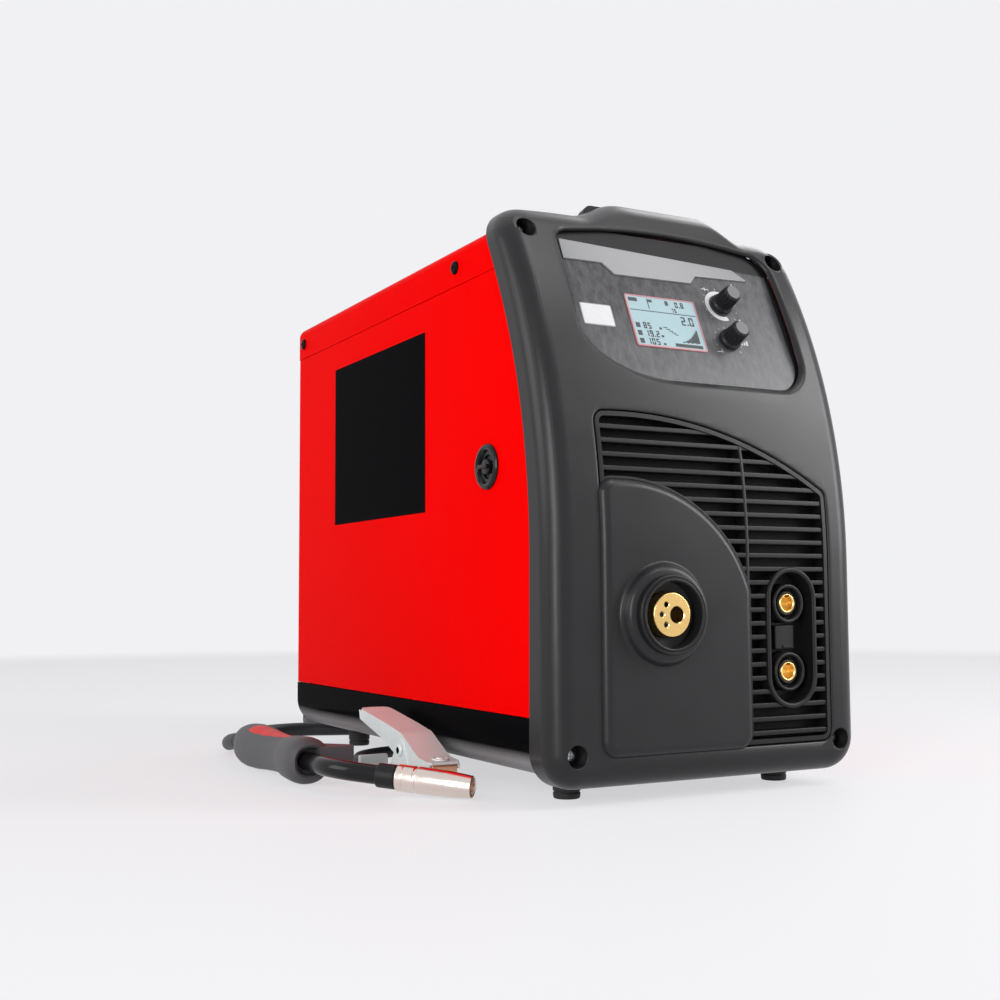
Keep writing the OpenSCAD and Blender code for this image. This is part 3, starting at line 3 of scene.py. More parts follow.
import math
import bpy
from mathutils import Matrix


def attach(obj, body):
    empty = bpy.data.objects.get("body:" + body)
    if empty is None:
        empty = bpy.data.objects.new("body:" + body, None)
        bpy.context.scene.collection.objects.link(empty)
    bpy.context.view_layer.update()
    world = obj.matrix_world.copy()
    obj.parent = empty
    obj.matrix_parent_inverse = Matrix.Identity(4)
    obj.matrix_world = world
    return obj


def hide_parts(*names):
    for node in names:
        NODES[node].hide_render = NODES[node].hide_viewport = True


bl_info = {
    "name": "Welding Machine Looks",
    "version": (1, 0, 0),
    "blender": (4, 5, 0),
    "location": "3D View > Sidebar > Welder",
    "description": "Builds the detailed pieces, finishes, cables and studio of a MIG welding machine",
    "category": "Object",
}

import bmesh
import bpy
from mathutils import Euler, Matrix, Vector

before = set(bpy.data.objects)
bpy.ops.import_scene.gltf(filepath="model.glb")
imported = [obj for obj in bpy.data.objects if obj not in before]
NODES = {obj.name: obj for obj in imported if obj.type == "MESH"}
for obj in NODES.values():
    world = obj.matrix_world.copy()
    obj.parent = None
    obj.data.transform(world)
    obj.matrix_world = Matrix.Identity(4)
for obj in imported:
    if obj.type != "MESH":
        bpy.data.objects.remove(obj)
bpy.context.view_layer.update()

# ------------------------------------------------------------------ sizes, in millimetres
MM = 0.001
ROOT = "welder"
# front curve: upright below ARC_Z, then leaning back round ARC_Y
FRONT_Y, ARC_Y, ARC_Z, FRONT_R, LIP_R = -218.0, 214.0, 150.0, 432.0, 404.0
REAR_Y = 230.0
SIDE_X, SHEET = 118.5, 1.5
BEZEL_TOP, BEZEL_LOW, BEZEL_HALF, BEZEL_DEPTH, EDGE_R = 387.0, 10.0, 120.0, 28.0, 15.0
# where along X the hump starts, is full, starts to fall and ends; its foot, its rise and the outer corners' drop
HUMP, HUMP_FOOT, HUMP_RISE, CROWN = (-55.0, -10.0, 56.0, 80.0), 332.0, 15.5, 5.0
LIP_TAPER = 7.0  # by how much the bezel is thinner at its top
RECESS = (-80.5, 265.0, 94.0, 366.0)
GRILLE_X0, GRILLE_X1, GRILLE_Z0, SLATTED = -84.0, 95.5, 30.0, 212.0
POD_X1, POD_ARC_X, POD_ARC_Z, POD_ARC_R, POD_RISE = 27.0, -67.0, 98.0, 99.0, 4.0
TORCH_X, TORCH_Z = -42.5, 114.5
SOCKET_X, SOCKET_ZS = 63.0, (76.25, 120.75)
FASCIA_Z, FASCIA_DEPTH, FASCIA_T = 318.3, 10.0, 2.0
FASCIA_TILT = math.asin((FASCIA_Z - ARC_Z) / (FRONT_R - FASCIA_DEPTH))
DIALS = {"upper": (44.0, 7.3), "lower": (41.5, -22.1)}
LCD = (-7.5, -12.9, 57.0, 41.0)
PAN_Z, PAN_TOP, COVER_TOP, FLANGE_Z = 15.0, 52.0, 369.0, 340.0
LATCH_Y, LATCH_Z = -134.8, 210.5
LATCH_HOLE_R = 10.4
BEZEL_SCREWS = [(x, z) for x in (-102.5, 102.5) for z in (31.0, 366.0)]
HANDLE_TOP, HANDLE_LOW, HANDLE_REAR = 401.0, 386.0, 176.0
TORCH_AXIS = (-205.0, 16.0)
CLAMP_X, CLAMP_PIN = -138.0, (-66, 23)
INK = 0.12  # thickness of a printed mark


def face_y(z, radius=FRONT_R):
    """Y of the front surface, or of a surface at a smaller radius behind it, at a height."""
    if z <= ARC_Z:
        return ARC_Y - radius
    return ARC_Y - math.sqrt(radius * radius - (z - ARC_Z) ** 2)


def lip_y(z, back=0.0):
    """Y of the line at which the bezel ends and the covers begin; the bezel grows thinner upwards."""
    return face_y(z, LIP_R - back) - LIP_TAPER * (max(0.0, z - ARC_Z) / (BEZEL_TOP - ARC_Z)) ** 2


FASCIA = Matrix.Translation((0, face_y(FASCIA_Z, FRONT_R - FASCIA_DEPTH), FASCIA_Z)) @ Matrix.Rotation(
    -FASCIA_TILT, 4, "X"
)


# ------------------------------------------------------------------ shader maths
class Socket:
    """A shader value that adds its Math nodes as an expression is written."""

    def __init__(self, shader, link):
        self.shader, self.link = shader, link

    def math(self, operation, *others):
        """A Math node with this value as its first input."""
        return self.shader.node("ShaderNodeMath", {"operation": operation}, dict(enumerate((self, *others))))

    def __add__(self, other):
        return self.math("ADD", other)

    def __mul__(self, other):
        return self.math("MULTIPLY", other)

    def __sub__(self, other):
        return self.math("SUBTRACT", other)

    def __rsub__(self, other):
        return self.shader.node("ShaderNodeMath", {"operation": "SUBTRACT"}, {0: other, 1: self})

    def __pow__(self, other):
        return self.math("POWER", other)

    __radd__ = __add__
    __rmul__ = __mul__

    def clamped(self):
        """The value held between 0 and 1."""
        return self.math("MINIMUM", 1.0).math("MAXIMUM", 0.0)


class NodeTree:
    """Adds nodes to a material or a world."""

    def __init__(self, tree):
        self.tree = tree

    def node(self, kind, settings=None, values=None, output=0):
        """A node of a kind, with its settings and the values or links of its inputs; gives one of its outputs."""
        made = self.tree.nodes.new(kind)
        for key, value in (settings or {}).items():
            setattr(made, key, value)
        for key, value in (values or {}).items():
            self.feed(made.inputs[key], value)
        return Socket(self, made.outputs[output])

    def feed(self, socket, value):
        """Links an output to an input, or sets the input's value."""
        if isinstance(value, Socket):
            self.tree.links.new(value.link, socket)
        else:
            socket.default_value = value


class Finish(NodeTree):
    """One procedural material on the Principled shader, with the slot that it stands for."""

    made = {}

    def __init__(self, name, slot, color, roughness, metallic=0.0, coat=0.0, coat_roughness=0.06, specular=0.5):
        self.material = bpy.data.materials.new(name)
        self.material.use_nodes = True
        super().__init__(self.material.node_tree)
        self.shader = self.tree.nodes["Principled BSDF"]
        self.material.diffuse_color = (*color[:3], 1.0)
        self.slot = slot
        for socket, value in (
            ("Base Color", (*color[:3], 1.0)),
            ("Roughness", roughness),
            ("Metallic", metallic),
            ("Coat Weight", coat),
            ("Coat Roughness", coat_roughness),
            ("Specular IOR Level", specular),
        ):
            self.shader.inputs[socket].default_value = value
        Finish.made[name] = self

    def place(self):
        """Object coordinates."""
        return self.node("ShaderNodeTexCoord", output=3)

    def stretched(self, scale, turn=(0, 0, 0)):
        """Object coordinates, scaled and turned."""
        return self.node("ShaderNodeMapping", values={"Vector": self.place(), "Scale": scale, "Rotation": turn})

    def noise(self, scale, detail=3.0, roughness=0.55, vector=None):
        """Noise, in object coordinates if none are given."""
        values = {"Vector": vector or self.place(), "Scale": scale, "Detail": detail, "Roughness": roughness}
        return self.node("ShaderNodeTexNoise", values=values)

    def height(self, axis="Z"):
        """One of the object coordinates."""
        return self.node("ShaderNodeSeparateXYZ", values={0: self.place()}, output="XYZ".index(axis))

    def mix(self, factor, first, second):
        """A blend of two colours."""
        return self.node("ShaderNodeMix", {"data_type": "RGBA"}, {0: factor, 6: first, 7: second}, output=2)

    def color(self, value):
        """Sets or links the base colour."""
        self.feed(self.shader.inputs["Base Color"], value)

    def roughness(self, value):
        """Sets or links the roughness."""
        self.feed(self.shader.inputs["Roughness"], value)

    def relief(self, height, depth, strength=0.5):
        """Bumps of a depth in metres."""
        values = {"Height": height, "Distance": depth, "Strength": strength}
        self.feed(self.shader.inputs["Normal"], self.node("ShaderNodeBump", values=values))


def tint(color, factor):
    """A colour made lighter or darker."""
    return (*(min(1.0, channel * factor) for channel in color[:3]), 1.0)


def moulded(name, slot, color, roughness=0.42, grain=0.00005, grain_scale=1700.0, specular=0.22):
    """Moulded plastic with a fine spark-eroded grain and faint flow marks."""
    finish = Finish(name, slot, color, roughness, specular=specular)
    flow = finish.noise(28.0, 4.0)
    finish.color(finish.mix(flow, tint(color, 0.88), tint(color, 1.14)))
    finish.roughness(flow * 0.12 + (roughness - 0.06))
    finish.relief(finish.noise(grain_scale, 2.0) + finish.noise(grain_scale * 2.7, 1.0) * 0.4, grain)


def enamelled(name, slot, color, roughness=0.3, coat=0.1, specular=0.25, peel=0.00002):
    """Baked enamel on sheet steel, with a faint orange peel."""
    finish = Finish(name, slot, color, roughness, coat=coat, coat_roughness=0.12, specular=specular)
    cloud = finish.noise(7.0, 3.0)
    finish.color(finish.mix(cloud, tint(color, 0.96), tint(color, 1.04)))
    finish.roughness(finish.noise(140.0, 2.0) * 0.08 + (roughness - 0.04))
    finish.relief(finish.noise(480.0, 2.0), peel, 0.35)


def bare_metal(name, slot, color, roughness, lines=(1, 1, 1), scale=700.0, depth=0.00001, metallic=1.0):
    """Bare metal with fine tool marks drawn out along one direction."""
    finish = Finish(name, slot, color, roughness, metallic=metallic)
    marks = finish.noise(scale, 3.0, 0.6, finish.stretched(lines))
    stain = finish.noise(24.0, 4.0)
    finish.color(finish.mix(stain, tint(color, 0.84), tint(color, 1.08)))
    finish.roughness(marks * 0.14 + stain * 0.12 + (roughness - 0.12))
    finish.relief(marks, depth)


def rubbery(name, slot, color, roughness=0.6, depth=0.00004):
    """Dull rubber with dust in its pores."""
    finish = Finish(name, slot, color, roughness, specular=0.35)
    dust = finish.noise(60.0, 5.0, 0.6)
    finish.color(finish.mix(dust, tint(color, 0.8), tint(color, 1.35)))
    finish.roughness(dust * 0.16 + (roughness - 0.08))
    finish.relief(finish.noise(1300.0, 3.0), depth)


def make_finishes(colors):
    """Every finish of the object, under the names that its pieces ask for."""
    plastic = colors.plastic
    enamelled("red_enamel", "red_paint", colors.red, 0.36, 0.0, 0.006)
    enamelled("black_enamel", "black_paint", colors.black, 0.24, 0.0, 0.05)
    pan = Finish("pan_enamel", "black_paint", colors.black, 0.22, specular=0.004)
    # painted reflection: the folded corners below are painted a lighter grey, standing in for the pale floor that they
    # reflect
    fold = ((30.0 * MM - pan.height()) * 140.0 + pan.noise(9.0) * 0.4).clamped()
    pan.color(pan.mix(fold, (*colors.black, 1.0), (0.26, 0.26, 0.265, 1)))
    pan.roughness(pan.noise(150.0, 2.0) * 0.08 + 0.2)
    pan.relief(pan.noise(480.0, 2.0), 0.00002, 0.35)
    moulded("bezel_plastic", "black_plastic", plastic, 0.31, specular=0.27)
    moulded("grille_plastic", "black_plastic", tint(plastic, 0.6), 0.4)
    moulded("handle_plastic", "black_plastic", tint(plastic, 0.8), 0.5)
    moulded("dark_plastic", "black_plastic", (0.012, 0.012, 0.013), 0.36)
    # painted shade: near-black matte plastic for the sheet that stands in for the shade behind the grille
    moulded("painted_shade_plastic", "black_plastic", (0.003, 0.003, 0.003), 0.7)
    moulded("gloss_plastic", "gloss_black", (0.008, 0.008, 0.009), 0.16, 0.00001)
    moulded("torch_plastic", "grey_plastic", colors.torch, 0.5)
    moulded("grey_plastic", "grey_plastic", (0.1, 0.1, 0.105), 0.5)
    moulded("spool_plastic", "spool_plastic", (0.03, 0.03, 0.032), 0.42)
    moulded("rocker_plastic", "red_rocker", (0.5, 0.02, 0.015), 0.22, 0.00001)
    moulded("dial_cap", "grey_plastic", (0.16, 0.16, 0.165), 0.42)
    enamelled("panel_black", "black_paint", (0.003, 0.003, 0.0035), 0.45, 0.0, 0.004)
    moulded("board_green", "circuit_board", (0.01, 0.09, 0.035), 0.35)
    rubbery("foot_rubber", "rubber", (0.014, 0.014, 0.015))
    rubbery("cable_rubber", "cable_rubber", (0.016, 0.016, 0.018), 0.5)
    rubbery("red_soft", "red_soft", (0.62, 0.022, 0.02), 0.5)
    bare_metal("zinc_plate", "zinc", (0.78, 0.84, 0.83), 0.5, scale=90.0, metallic=0.22)
    bare_metal("turned_steel", "roll_steel", (0.58, 0.59, 0.6), 0.28)
    bare_metal("bare_aluminium", "heatsink_aluminium", (0.76, 0.77, 0.78), 0.38, (1, 0.05, 1))
    bare_metal("brass", "brass", (0.86, 0.58, 0.22), 0.22, (1, 0.2, 1), 500.0)
    bare_metal("nozzle_metal", "nickel", (0.8, 0.7, 0.64), 0.2, (1, 1, 1), 160.0)
    bare_metal("copper", "copper_wire", (0.86, 0.45, 0.27), 0.3)
    bare_metal("spring_steel", "zinc", (0.13, 0.15, 0.22), 0.3)
    bare_metal("core_iron", "transformer_iron", (0.14, 0.14, 0.145), 0.55)
    fascia = Finish("brushed_fascia", "dark_fascia", (0.05, 0.05, 0.053), 0.42, metallic=0.15, specular=0.2)
    marks = fascia.noise(230.0, 4.0, 0.7, fascia.stretched((1, 1, 0.035), (0, math.radians(-42), 0)))
    # painted light: the panel is painted paler towards its lower right and darker towards its top
    painted_light_ramp = ((fascia.height("X") * 1.6 - fascia.height("Z") * 4.2) + 1.45).clamped()
    streaks = fascia.mix(((marks - 0.5) * 1.9 + 0.5).clamped(), (0.01, 0.01, 0.011, 1), (0.1, 0.1, 0.103, 1))
    # painted shade: above the line of the strip, under the recess's ceiling, the panel is painted near black
    painted_brow_shade = ((fascia.height("Z") - fascia.height("X") * -0.046 - 0.358) * 900.0).clamped()
    painted_light_mix = fascia.mix(painted_light_ramp * 0.65, streaks, (0.36, 0.36, 0.366, 1))
    fascia.color(fascia.mix(painted_brow_shade, painted_light_mix, (0.008, 0.008, 0.009, 1)))
    fascia.roughness(marks * 0.22 + 0.32)
    fascia.relief(marks, 0.00002)
    trim = Finish("silver_trim", "silver_trim", (0.26, 0.26, 0.267), 0.36, metallic=0.1, specular=0.3)
    run = trim.noise(600.0, 2.0, 0.5, trim.stretched((0.05, 1, 1)))
    # painted light: the strip is painted paler in the middle and darker towards both ends
    middle = 1.0 - (trim.height("X") * 11.0) ** 2.0 * 0.7
    trim.color(trim.mix(middle.clamped(), (0.14, 0.14, 0.144, 1), (0.29, 0.29, 0.298, 1)))
    trim.roughness(run * 0.14 + 0.3)
    glass = Finish("display_glass", "display", (0.4, 0.6, 0.66), 0.3, specular=0.2)
    glow = glass.noise(18.0)
    glass.color(glass.mix(glow, (0.32, 0.45, 0.49, 1), (0.38, 0.51, 0.54, 1)))
    glass.roughness(glow * 0.06 + 0.26)
    for name, slot, color in (
        ("white_print", "silver_trim", (0.62, 0.62, 0.625)),
        ("dark_print", "black_plastic", (0.012, 0.02, 0.024)),
        ("red_print", "red_rocker", (0.5, 0.2, 0.22)),
    ):
        ink = Finish(name, slot, color, 0.45)
        ink.color(ink.mix(ink.noise(300.0), tint(color, 0.92), tint(color, 1.06)))
        ink.roughness(ink.noise(200.0) * 0.1 + 0.4)


FINISH_OF_NODE = {
    "red_enamel": ["top_cover", "side_door"],
    "black_enamel": ["rear_panel", "case_screws"],
    "pan_enamel": ["base_pan"],
    "bezel_plastic": ["front_bezel"],
    "grille_plastic": ["front_grille"],
    "handle_plastic": ["carry_handle", "hand_trough"],
    "dark_plastic": [
        "dial_upper", "dial_lower", "mains_switch", "fan_frame", "fan_rotor", "cable_gland", "torch_socket",
        "output_sockets", "tension_lever", "torch_trigger", "torch_plug", "clamp_plug",
    ],
    "gloss_plastic": ["latch_bezel", "latch_knob", "torch_neck"],
    "torch_plastic": ["torch_handle"],
    "red_soft": ["torch_grip"],
    "rocker_plastic": ["switch_rocker"],
    "brushed_fascia": ["control_fascia"],
    "silver_trim": ["fascia_trim"],
    "display_glass": ["lcd_window"],
    "board_green": ["circuit_boards"],
    "foot_rubber": ["rubber_feet", "gas_hose"],
    "cable_rubber": ["torch_cable", "torch_coil", "clamp_cable", "clamp_coil"],
    "zinc_plate": [
        "hinge_pins", "clamp_lower_jaw", "clamp_upper_jaw", "centre_partition", "feeder_plate", "tension_spring",
        "encoder_upper", "encoder_lower",
    ],
    "spring_steel": ["clamp_spring"],
    "turned_steel": ["drive_roll", "pressure_roll"],
    "brass": ["gas_valve", "torch_contact", "output_contacts", "wire_guides"],
    "grey_plastic": ["feed_motor", "pressure_arm", "spool_hub"],
    "spool_plastic": ["wire_spool"],
    "copper": ["wound_wire"],
    "bare_aluminium": ["heatsink"],
    "core_iron": ["main_transformer"],
    "nozzle_metal": ["torch_nozzle"],
}


def finish_nodes():
    """Puts a procedural finish on every solid of the frame."""
    for finish, names in FINISH_OF_NODE.items():
        for name in names:
            materials = NODES[name].data.materials
            materials.clear()
            materials.append(Finish.made[finish].material)


# ------------------------------------------------------------------ mesh helpers
def arc(x, z, radius, start, end, steps=8):
    """Points along an arc, its angles in degrees."""
    turns = (math.radians(start + (end - start) * k / steps) for k in range(steps + 1))
    return [(x + radius * math.cos(a), z + radius * math.sin(a)) for a in turns]


def round_rect(x0, z0, x1, z1, radii, steps=8):
    """Counter-clockwise outline of a rectangle; radii from the lower right corner round to the lower left."""
    r = radii if isinstance(radii, tuple) else (radii,) * 4
    return (
        arc(x1 - r[0], z0 + r[0], r[0], -90, 0, steps)
        + arc(x1 - r[1], z1 - r[1], r[1], 0, 90, steps)
        + arc(x0 + r[2], z1 - r[2], r[2], 90, 180, steps)
        + arc(x0 + r[3], z0 + r[3], r[3], 180, 270, steps)
    )


def grown(points, distance):
    """A counter-clockwise outline moved outwards by a distance."""
    moved = []
    for before, here, after in zip(points[-1:] + points[:-1], points, points[1:] + points[:1]):
        arriving = (Vector(here) - Vector(before)).normalized()
        leaving = (Vector(after) - Vector(here)).normalized()
        along = (arriving + leaving).normalized()
        out = Vector((along.y, -along.x))
        spread = max(0.4, out.dot(Vector((arriving.y, -arriving.x))))
        moved.append(tuple(Vector(here) + out * distance / spread))
    return moved


def smooth_step(t):
    """A rise from 0 to 1 that starts and ends level."""
    t = min(max(t, 0.0), 1.0)
    return t * t * (3 - 2 * t)


def quarter_round(radius, steps):
    """Stages of a rolled edge as inset and depth, from the face's rim to the side."""
    turns = [math.pi / 2 * k / steps for k in range(steps + 1)]
    return [(radius * (1 - math.sin(a)), radius * (1 - math.cos(a))) for a in turns]


def new_object(name, data):
    """An object for a mesh, a curve, a lamp or a camera, in the scene."""
    made = bpy.data.objects.new(name, data)
    bpy.context.scene.collection.objects.link(made)
    return made


def edges_of(verts):
    """Every edge that meets some of the vertices, once each."""
    return list({edge for vert in verts for edge in vert.link_edges})


def lofted(rings, ends=True):
    """A form bridged through rings that all have the same count of points, with its ends filled."""
    form = bmesh.new()
    loops = []
    for ring in rings:
        verts = bmesh.ops.create_circle(form, segments=len(ring), radius=1.0)["verts"]
        for vert, place in zip(verts, ring):
            vert.co = place
        loops.append((verts, edges_of(verts)))
    for low, high in zip(loops, loops[1:]):
        bmesh.ops.bridge_loops(form, edges=low[1] + high[1])
    if ends:
        for _, edges in (loops[0], loops[-1]):
            bmesh.ops.edgeloop_fill(form, edges=edges)
    bmesh.ops.recalc_face_normals(form, faces=form.faces)
    return form


def staged(points, stages):
    """A form through an X-Z outline that is grown by a distance at each place along Y."""
    return lofted([[(x, y, z) for x, z in (grown(points, growth) if growth else points)] for growth, y in stages])


def prism(points, low, high, chamfer=0.0, segments=3, both=False):
    """An X-Z outline drawn out along Y, with its front edge, and its rear one if asked, rounded."""
    stages = [(0.0, low), (0.0, high)]
    if chamfer:
        rolled = quarter_round(chamfer, segments)
        stages = [(-inset, low + depth) for inset, depth in rolled]
        stages += [(-inset, high - depth) for inset, depth in rolled[::-1]] if both else [(0.0, high)]
    return staged(points, stages)


def turned(profile, steps=64):
    """A form spun round the Z axis from points of radius and height, the first and last on the axis."""
    form = bmesh.new()
    verts = [form.verts.new((radius, 0.0, height)) for radius, height in profile]
    edges = [form.edges.new(pair) for pair in zip(verts, verts[1:])]
    bmesh.ops.spin(
        form, geom=verts + edges, cent=(0, 0, 0), axis=(0, 0, 1), angle=2 * math.pi, steps=steps, use_merge=True,
        use_duplicate=False,
    )
    bmesh.ops.remove_doubles(form, verts=form.verts, dist=0.0005)
    bmesh.ops.recalc_face_normals(form, faces=form.faces)
    return form


def rounded_profile(points, radius=0.4, steps=3):
    """A profile with each inner corner cut into a small arc."""
    made = [points[0]]
    for before, here, after in zip(points, points[1:], points[2:]):
        here_v, a, c = Vector(here), Vector(before), Vector(after)
        reach = min(radius, (a - here_v).length * 0.45, (c - here_v).length * 0.45)
        start = here_v + (a - here_v).normalized() * reach
        end = here_v + (c - here_v).normalized() * reach
        for k in range(steps + 1):
            t = k / steps
            made.append(tuple(start * (1 - t) ** 2 + here_v * 2 * t * (1 - t) + end * t * t))
    made.append(points[-1])
    return made


def box(form, low, high, matrix=None):
    """Adds one cuboid to a form."""
    middle = [(a + c) / 2 for a, c in zip(low, high)]
    size = [c - a for a, c in zip(low, high)]
    place = Matrix.Translation(middle) @ Matrix.Diagonal((*size, 1.0))
    return bmesh.ops.create_cube(form, size=1.0, matrix=(matrix or Matrix()) @ place)["verts"]


def soft_box(low, high, radius=0.6, segments=2):
    """A cuboid with all its edges rounded."""
    form = bmesh.new()
    box(form, low, high)
    bevel(form, form.edges[:], radius, segments)
    return form


def bevel(form, edges, radius, segments=3):
    """Rounds edges of a form."""
    bmesh.ops.bevel(
        form, geom=edges, offset=radius, offset_type="OFFSET", segments=segments, profile=0.5, affect="EDGES",
        clamp_overlap=True, material=-1,
    )


def moved(form, matrix):
    """The form itself, after a move."""
    bmesh.ops.transform(form, matrix=matrix, verts=form.verts)
    return form


def joined(*forms):
    """One form out of several."""
    whole = bmesh.new()
    for form in forms:
        mesh = bpy.data.meshes.new("blank")
        form.to_mesh(mesh)
        form.free()
        whole.from_mesh(mesh)
        bpy.data.meshes.remove(mesh)
    return whole


def combined(solid, tool, operation):
    """Cuts, joins or intersects two closed forms."""
    blanks = []
    for form in (solid, tool):
        mesh = bpy.data.meshes.new("blank")
        form.to_mesh(mesh)
        form.free()
        blanks.append(new_object("blank", mesh))
    step = blanks[0].modifiers.new("combine", "BOOLEAN")
    step.operation, step.object, step.solver = operation, blanks[1], "EXACT"
    result = bmesh.new()
    result.from_object(blanks[0], bpy.context.evaluated_depsgraph_get())
    for blank in blanks:
        bpy.data.objects.remove(blank)
    bmesh.ops.remove_doubles(result, verts=result.verts, dist=0.0005)
    return result


def cut(solid, *tools):
    """Takes closed forms away from a solid, one after the other."""
    for tool in tools:
        solid = combined(solid, tool, "DIFFERENCE")
    return solid


def sliced(form, axis, places):
    """Cuts every face of a form along planes, so that it can be bent."""
    normal = Vector((axis == "X", axis == "Y", axis == "Z"))
    for place in places:
        geometry = form.verts[:] + form.edges[:] + form.faces[:]
        bmesh.ops.bisect_plane(form, geom=geometry, dist=0.001, plane_co=normal * place, plane_no=normal)
    return form


def bent_to_front(form):
    """Bends a form drawn with its depth as Y so that it follows the leaning front."""
    high = max(vert.co.z for vert in form.verts)
    count = max(0, int((high - ARC_Z) / 8.0) + 1)
    sliced(form, "Z", [ARC_Z + 8.0 * k for k in range(count)])
    for vert in form.verts:
        vert.co.y = face_y(vert.co.z, FRONT_R - vert.co.y)
    return form


def sideways(form):
    """Swaps X and Y, so that a form drawn as a prism lies in a plane across X."""
    moved(form, Matrix(((0, 1, 0, 0), (1, 0, 0, 0), (0, 0, 1, 0), (0, 0, 0, 1))))
    bmesh.ops.reverse_faces(form, faces=form.faces)
    return form


def lathed(profile, place, steps=48, radius=0.0, segments=3):
    """A turned form at its place, the corners of its profile softened by a radius."""
    return moved(turned(rounded_profile(profile, radius, segments) if radius else profile, steps), place)


def fluted(form, beyond, count, depth, power, above=-1.0):
    """Presses flutes round a turned form, outside a radius and above a height."""
    for vert in form.verts:
        if vert.co.z > above and math.hypot(vert.co.x, vert.co.y) > beyond:
            wave = max(0.0, math.cos(math.atan2(vert.co.y, vert.co.x) * count)) ** power
            vert.co.x *= 1.0 - depth * wave
            vert.co.y *= 1.0 - depth * wave
    return form


def plated(sheet, thickness):
    """Gives a thickness to a single sheet, below its upper side."""
    bmesh.ops.remove_doubles(sheet, verts=sheet.verts, dist=0.01)
    bmesh.ops.recalc_face_normals(sheet, faces=sheet.faces)
    if sum(face.normal.z for face in sheet.faces) < 0:
        bmesh.ops.reverse_faces(sheet, faces=sheet.faces)
    bmesh.ops.solidify(sheet, geom=sheet.faces[:], thickness=thickness)
    return sheet


def slot_row(low, high, count, pitch=12.0):
    """Cutters for a row of slots along Y, from the corners of the first."""
    form = bmesh.new()
    for k in range(count):
        step = Vector((0, pitch * k, 0))
        box(form, Vector(low) + step, Vector(high) + step)
    return form


def bevel_folds(form):
    """Softens the cut edges of a folded sheet."""
    sharp = [edge for edge in form.edges if edge.is_manifold and edge.calc_face_angle(0) > math.radians(50)]
    bevel(form, sharp, 0.35, 2)
    return form


def axis_along(direction, place):
    """Places a turned form with its height along a direction."""
    return Matrix.Translation(place) @ Vector(direction).to_track_quat("Z", "Y").to_matrix().to_4x4()


def declared(made, finish, body, replaced):
    """Gives an object its finish and says what it rides on and the solids it replaces."""
    made.data.materials.append(Finish.made[finish].material)
    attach(made, body)
    if replaced:
        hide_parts(*replaced)


def meshed(name, form, finish, body, replaced, angle):
    """Turns a form in metres into an object with smooth faces between its sharp edges."""
    mesh = bpy.data.meshes.new(name)
    form.to_mesh(mesh)
    form.free()
    mesh.polygons.foreach_set("use_smooth", [True] * len(mesh.polygons))
    mesh.set_sharp_from_angle(angle=math.radians(angle))
    made = new_object(name, mesh)
    declared(made, finish, body, replaced)
    return made


def smoothed(made):
    """Weights the normals by face area, so that flat faces stay flat beside their rounded edges."""
    made.modifiers.new("weighted", "WEIGHTED_NORMAL").keep_sharp = True


def piece(name, form, finish, body=ROOT, replaces=(), angle=35.0, weighted=True):
    """Turns a form in millimetres into a finished object that rides on a body."""
    bmesh.ops.scale(form, vec=(MM, MM, MM), verts=form.verts)
    made = meshed(name, form, finish, body, replaces, angle)
    if weighted:
        smoothed(made)
    return made


# ------------------------------------------------------------------ front bezel
def bezel_outline():
    """Front view of the bezel: small corners below, wider ones above."""
    low, high = 22.0, 24.0
    return round_rect(-BEZEL_HALF, BEZEL_LOW, BEZEL_HALF, BEZEL_TOP, (low, high, high, low), 10)


def recess_outline():
    """Front view of the sunken panel's mouth; its upper edge swells under the hump."""
    x0, z0, x1, z1 = RECESS
    swell = 9.0
    radius = ((x1 - x0) ** 2 / 4 + swell ** 2) / (2 * swell)
    middle, low = (x0 + x1) / 2, z1 + swell - radius
    right = math.degrees(math.acos((x1 - 17.0 - middle) / (radius - 6.0)))
    left = math.degrees(math.acos((x0 + 11.0 - middle) / (radius - 6.0)))
    right_z = low + (radius - 17.0) * math.sin(math.radians(right))
    left_z = low + (radius - 11.0) * math.sin(math.radians(left))
    return (
        arc(x1 - 22.0, z0 + 22.0, 22.0, -90, 0, 10)
        + arc(x1 - 17.0, right_z, 17.0, 0, right, 8)
        + arc(middle, low, radius, right, left, 20)[1:-1]
        + arc(x0 + 11.0, left_z, 11.0, left, 180, 8)
        + [(x0 + 70.0 * (1 + x), z0 + 36.0 * (1 + z)) for x, z in arc(0.0, 0.0, 1.0, 180, 270, 14)]
    )


def grille_outline():
    """Front view of the grille: square below and on the left, an arc above."""
    arc_x, arc_z, radius = -60.0, -38.0, 280.0
    turn_right = math.degrees(math.acos((GRILLE_X1 - 7.0 - arc_x) / (radius - 7.0)))
    right_z = arc_z + (radius - 7.0) * math.sin(math.radians(turn_right))
    left = math.degrees(math.acos((GRILLE_X0 + 8.0 - arc_x) / (radius - 8.0)))
    left_z = arc_z + (radius - 8.0) * math.sin(math.radians(left))
    return (
        arc(GRILLE_X1 - 8.0, GRILLE_Z0 + 8.0, 8.0, -90, 0, 6)
        + arc(GRILLE_X1 - 7.0, right_z, 7.0, 0, turn_right, 5)
        + arc(arc_x, arc_z, radius, turn_right, left, 28)[1:-1]
        + arc(GRILLE_X0 + 8.0, left_z, 8.0, left, 180, 5)
        + arc(GRILLE_X0 + 8.0, GRILLE_Z0 + 8.0, 8.0, 180, 270, 6)
    )


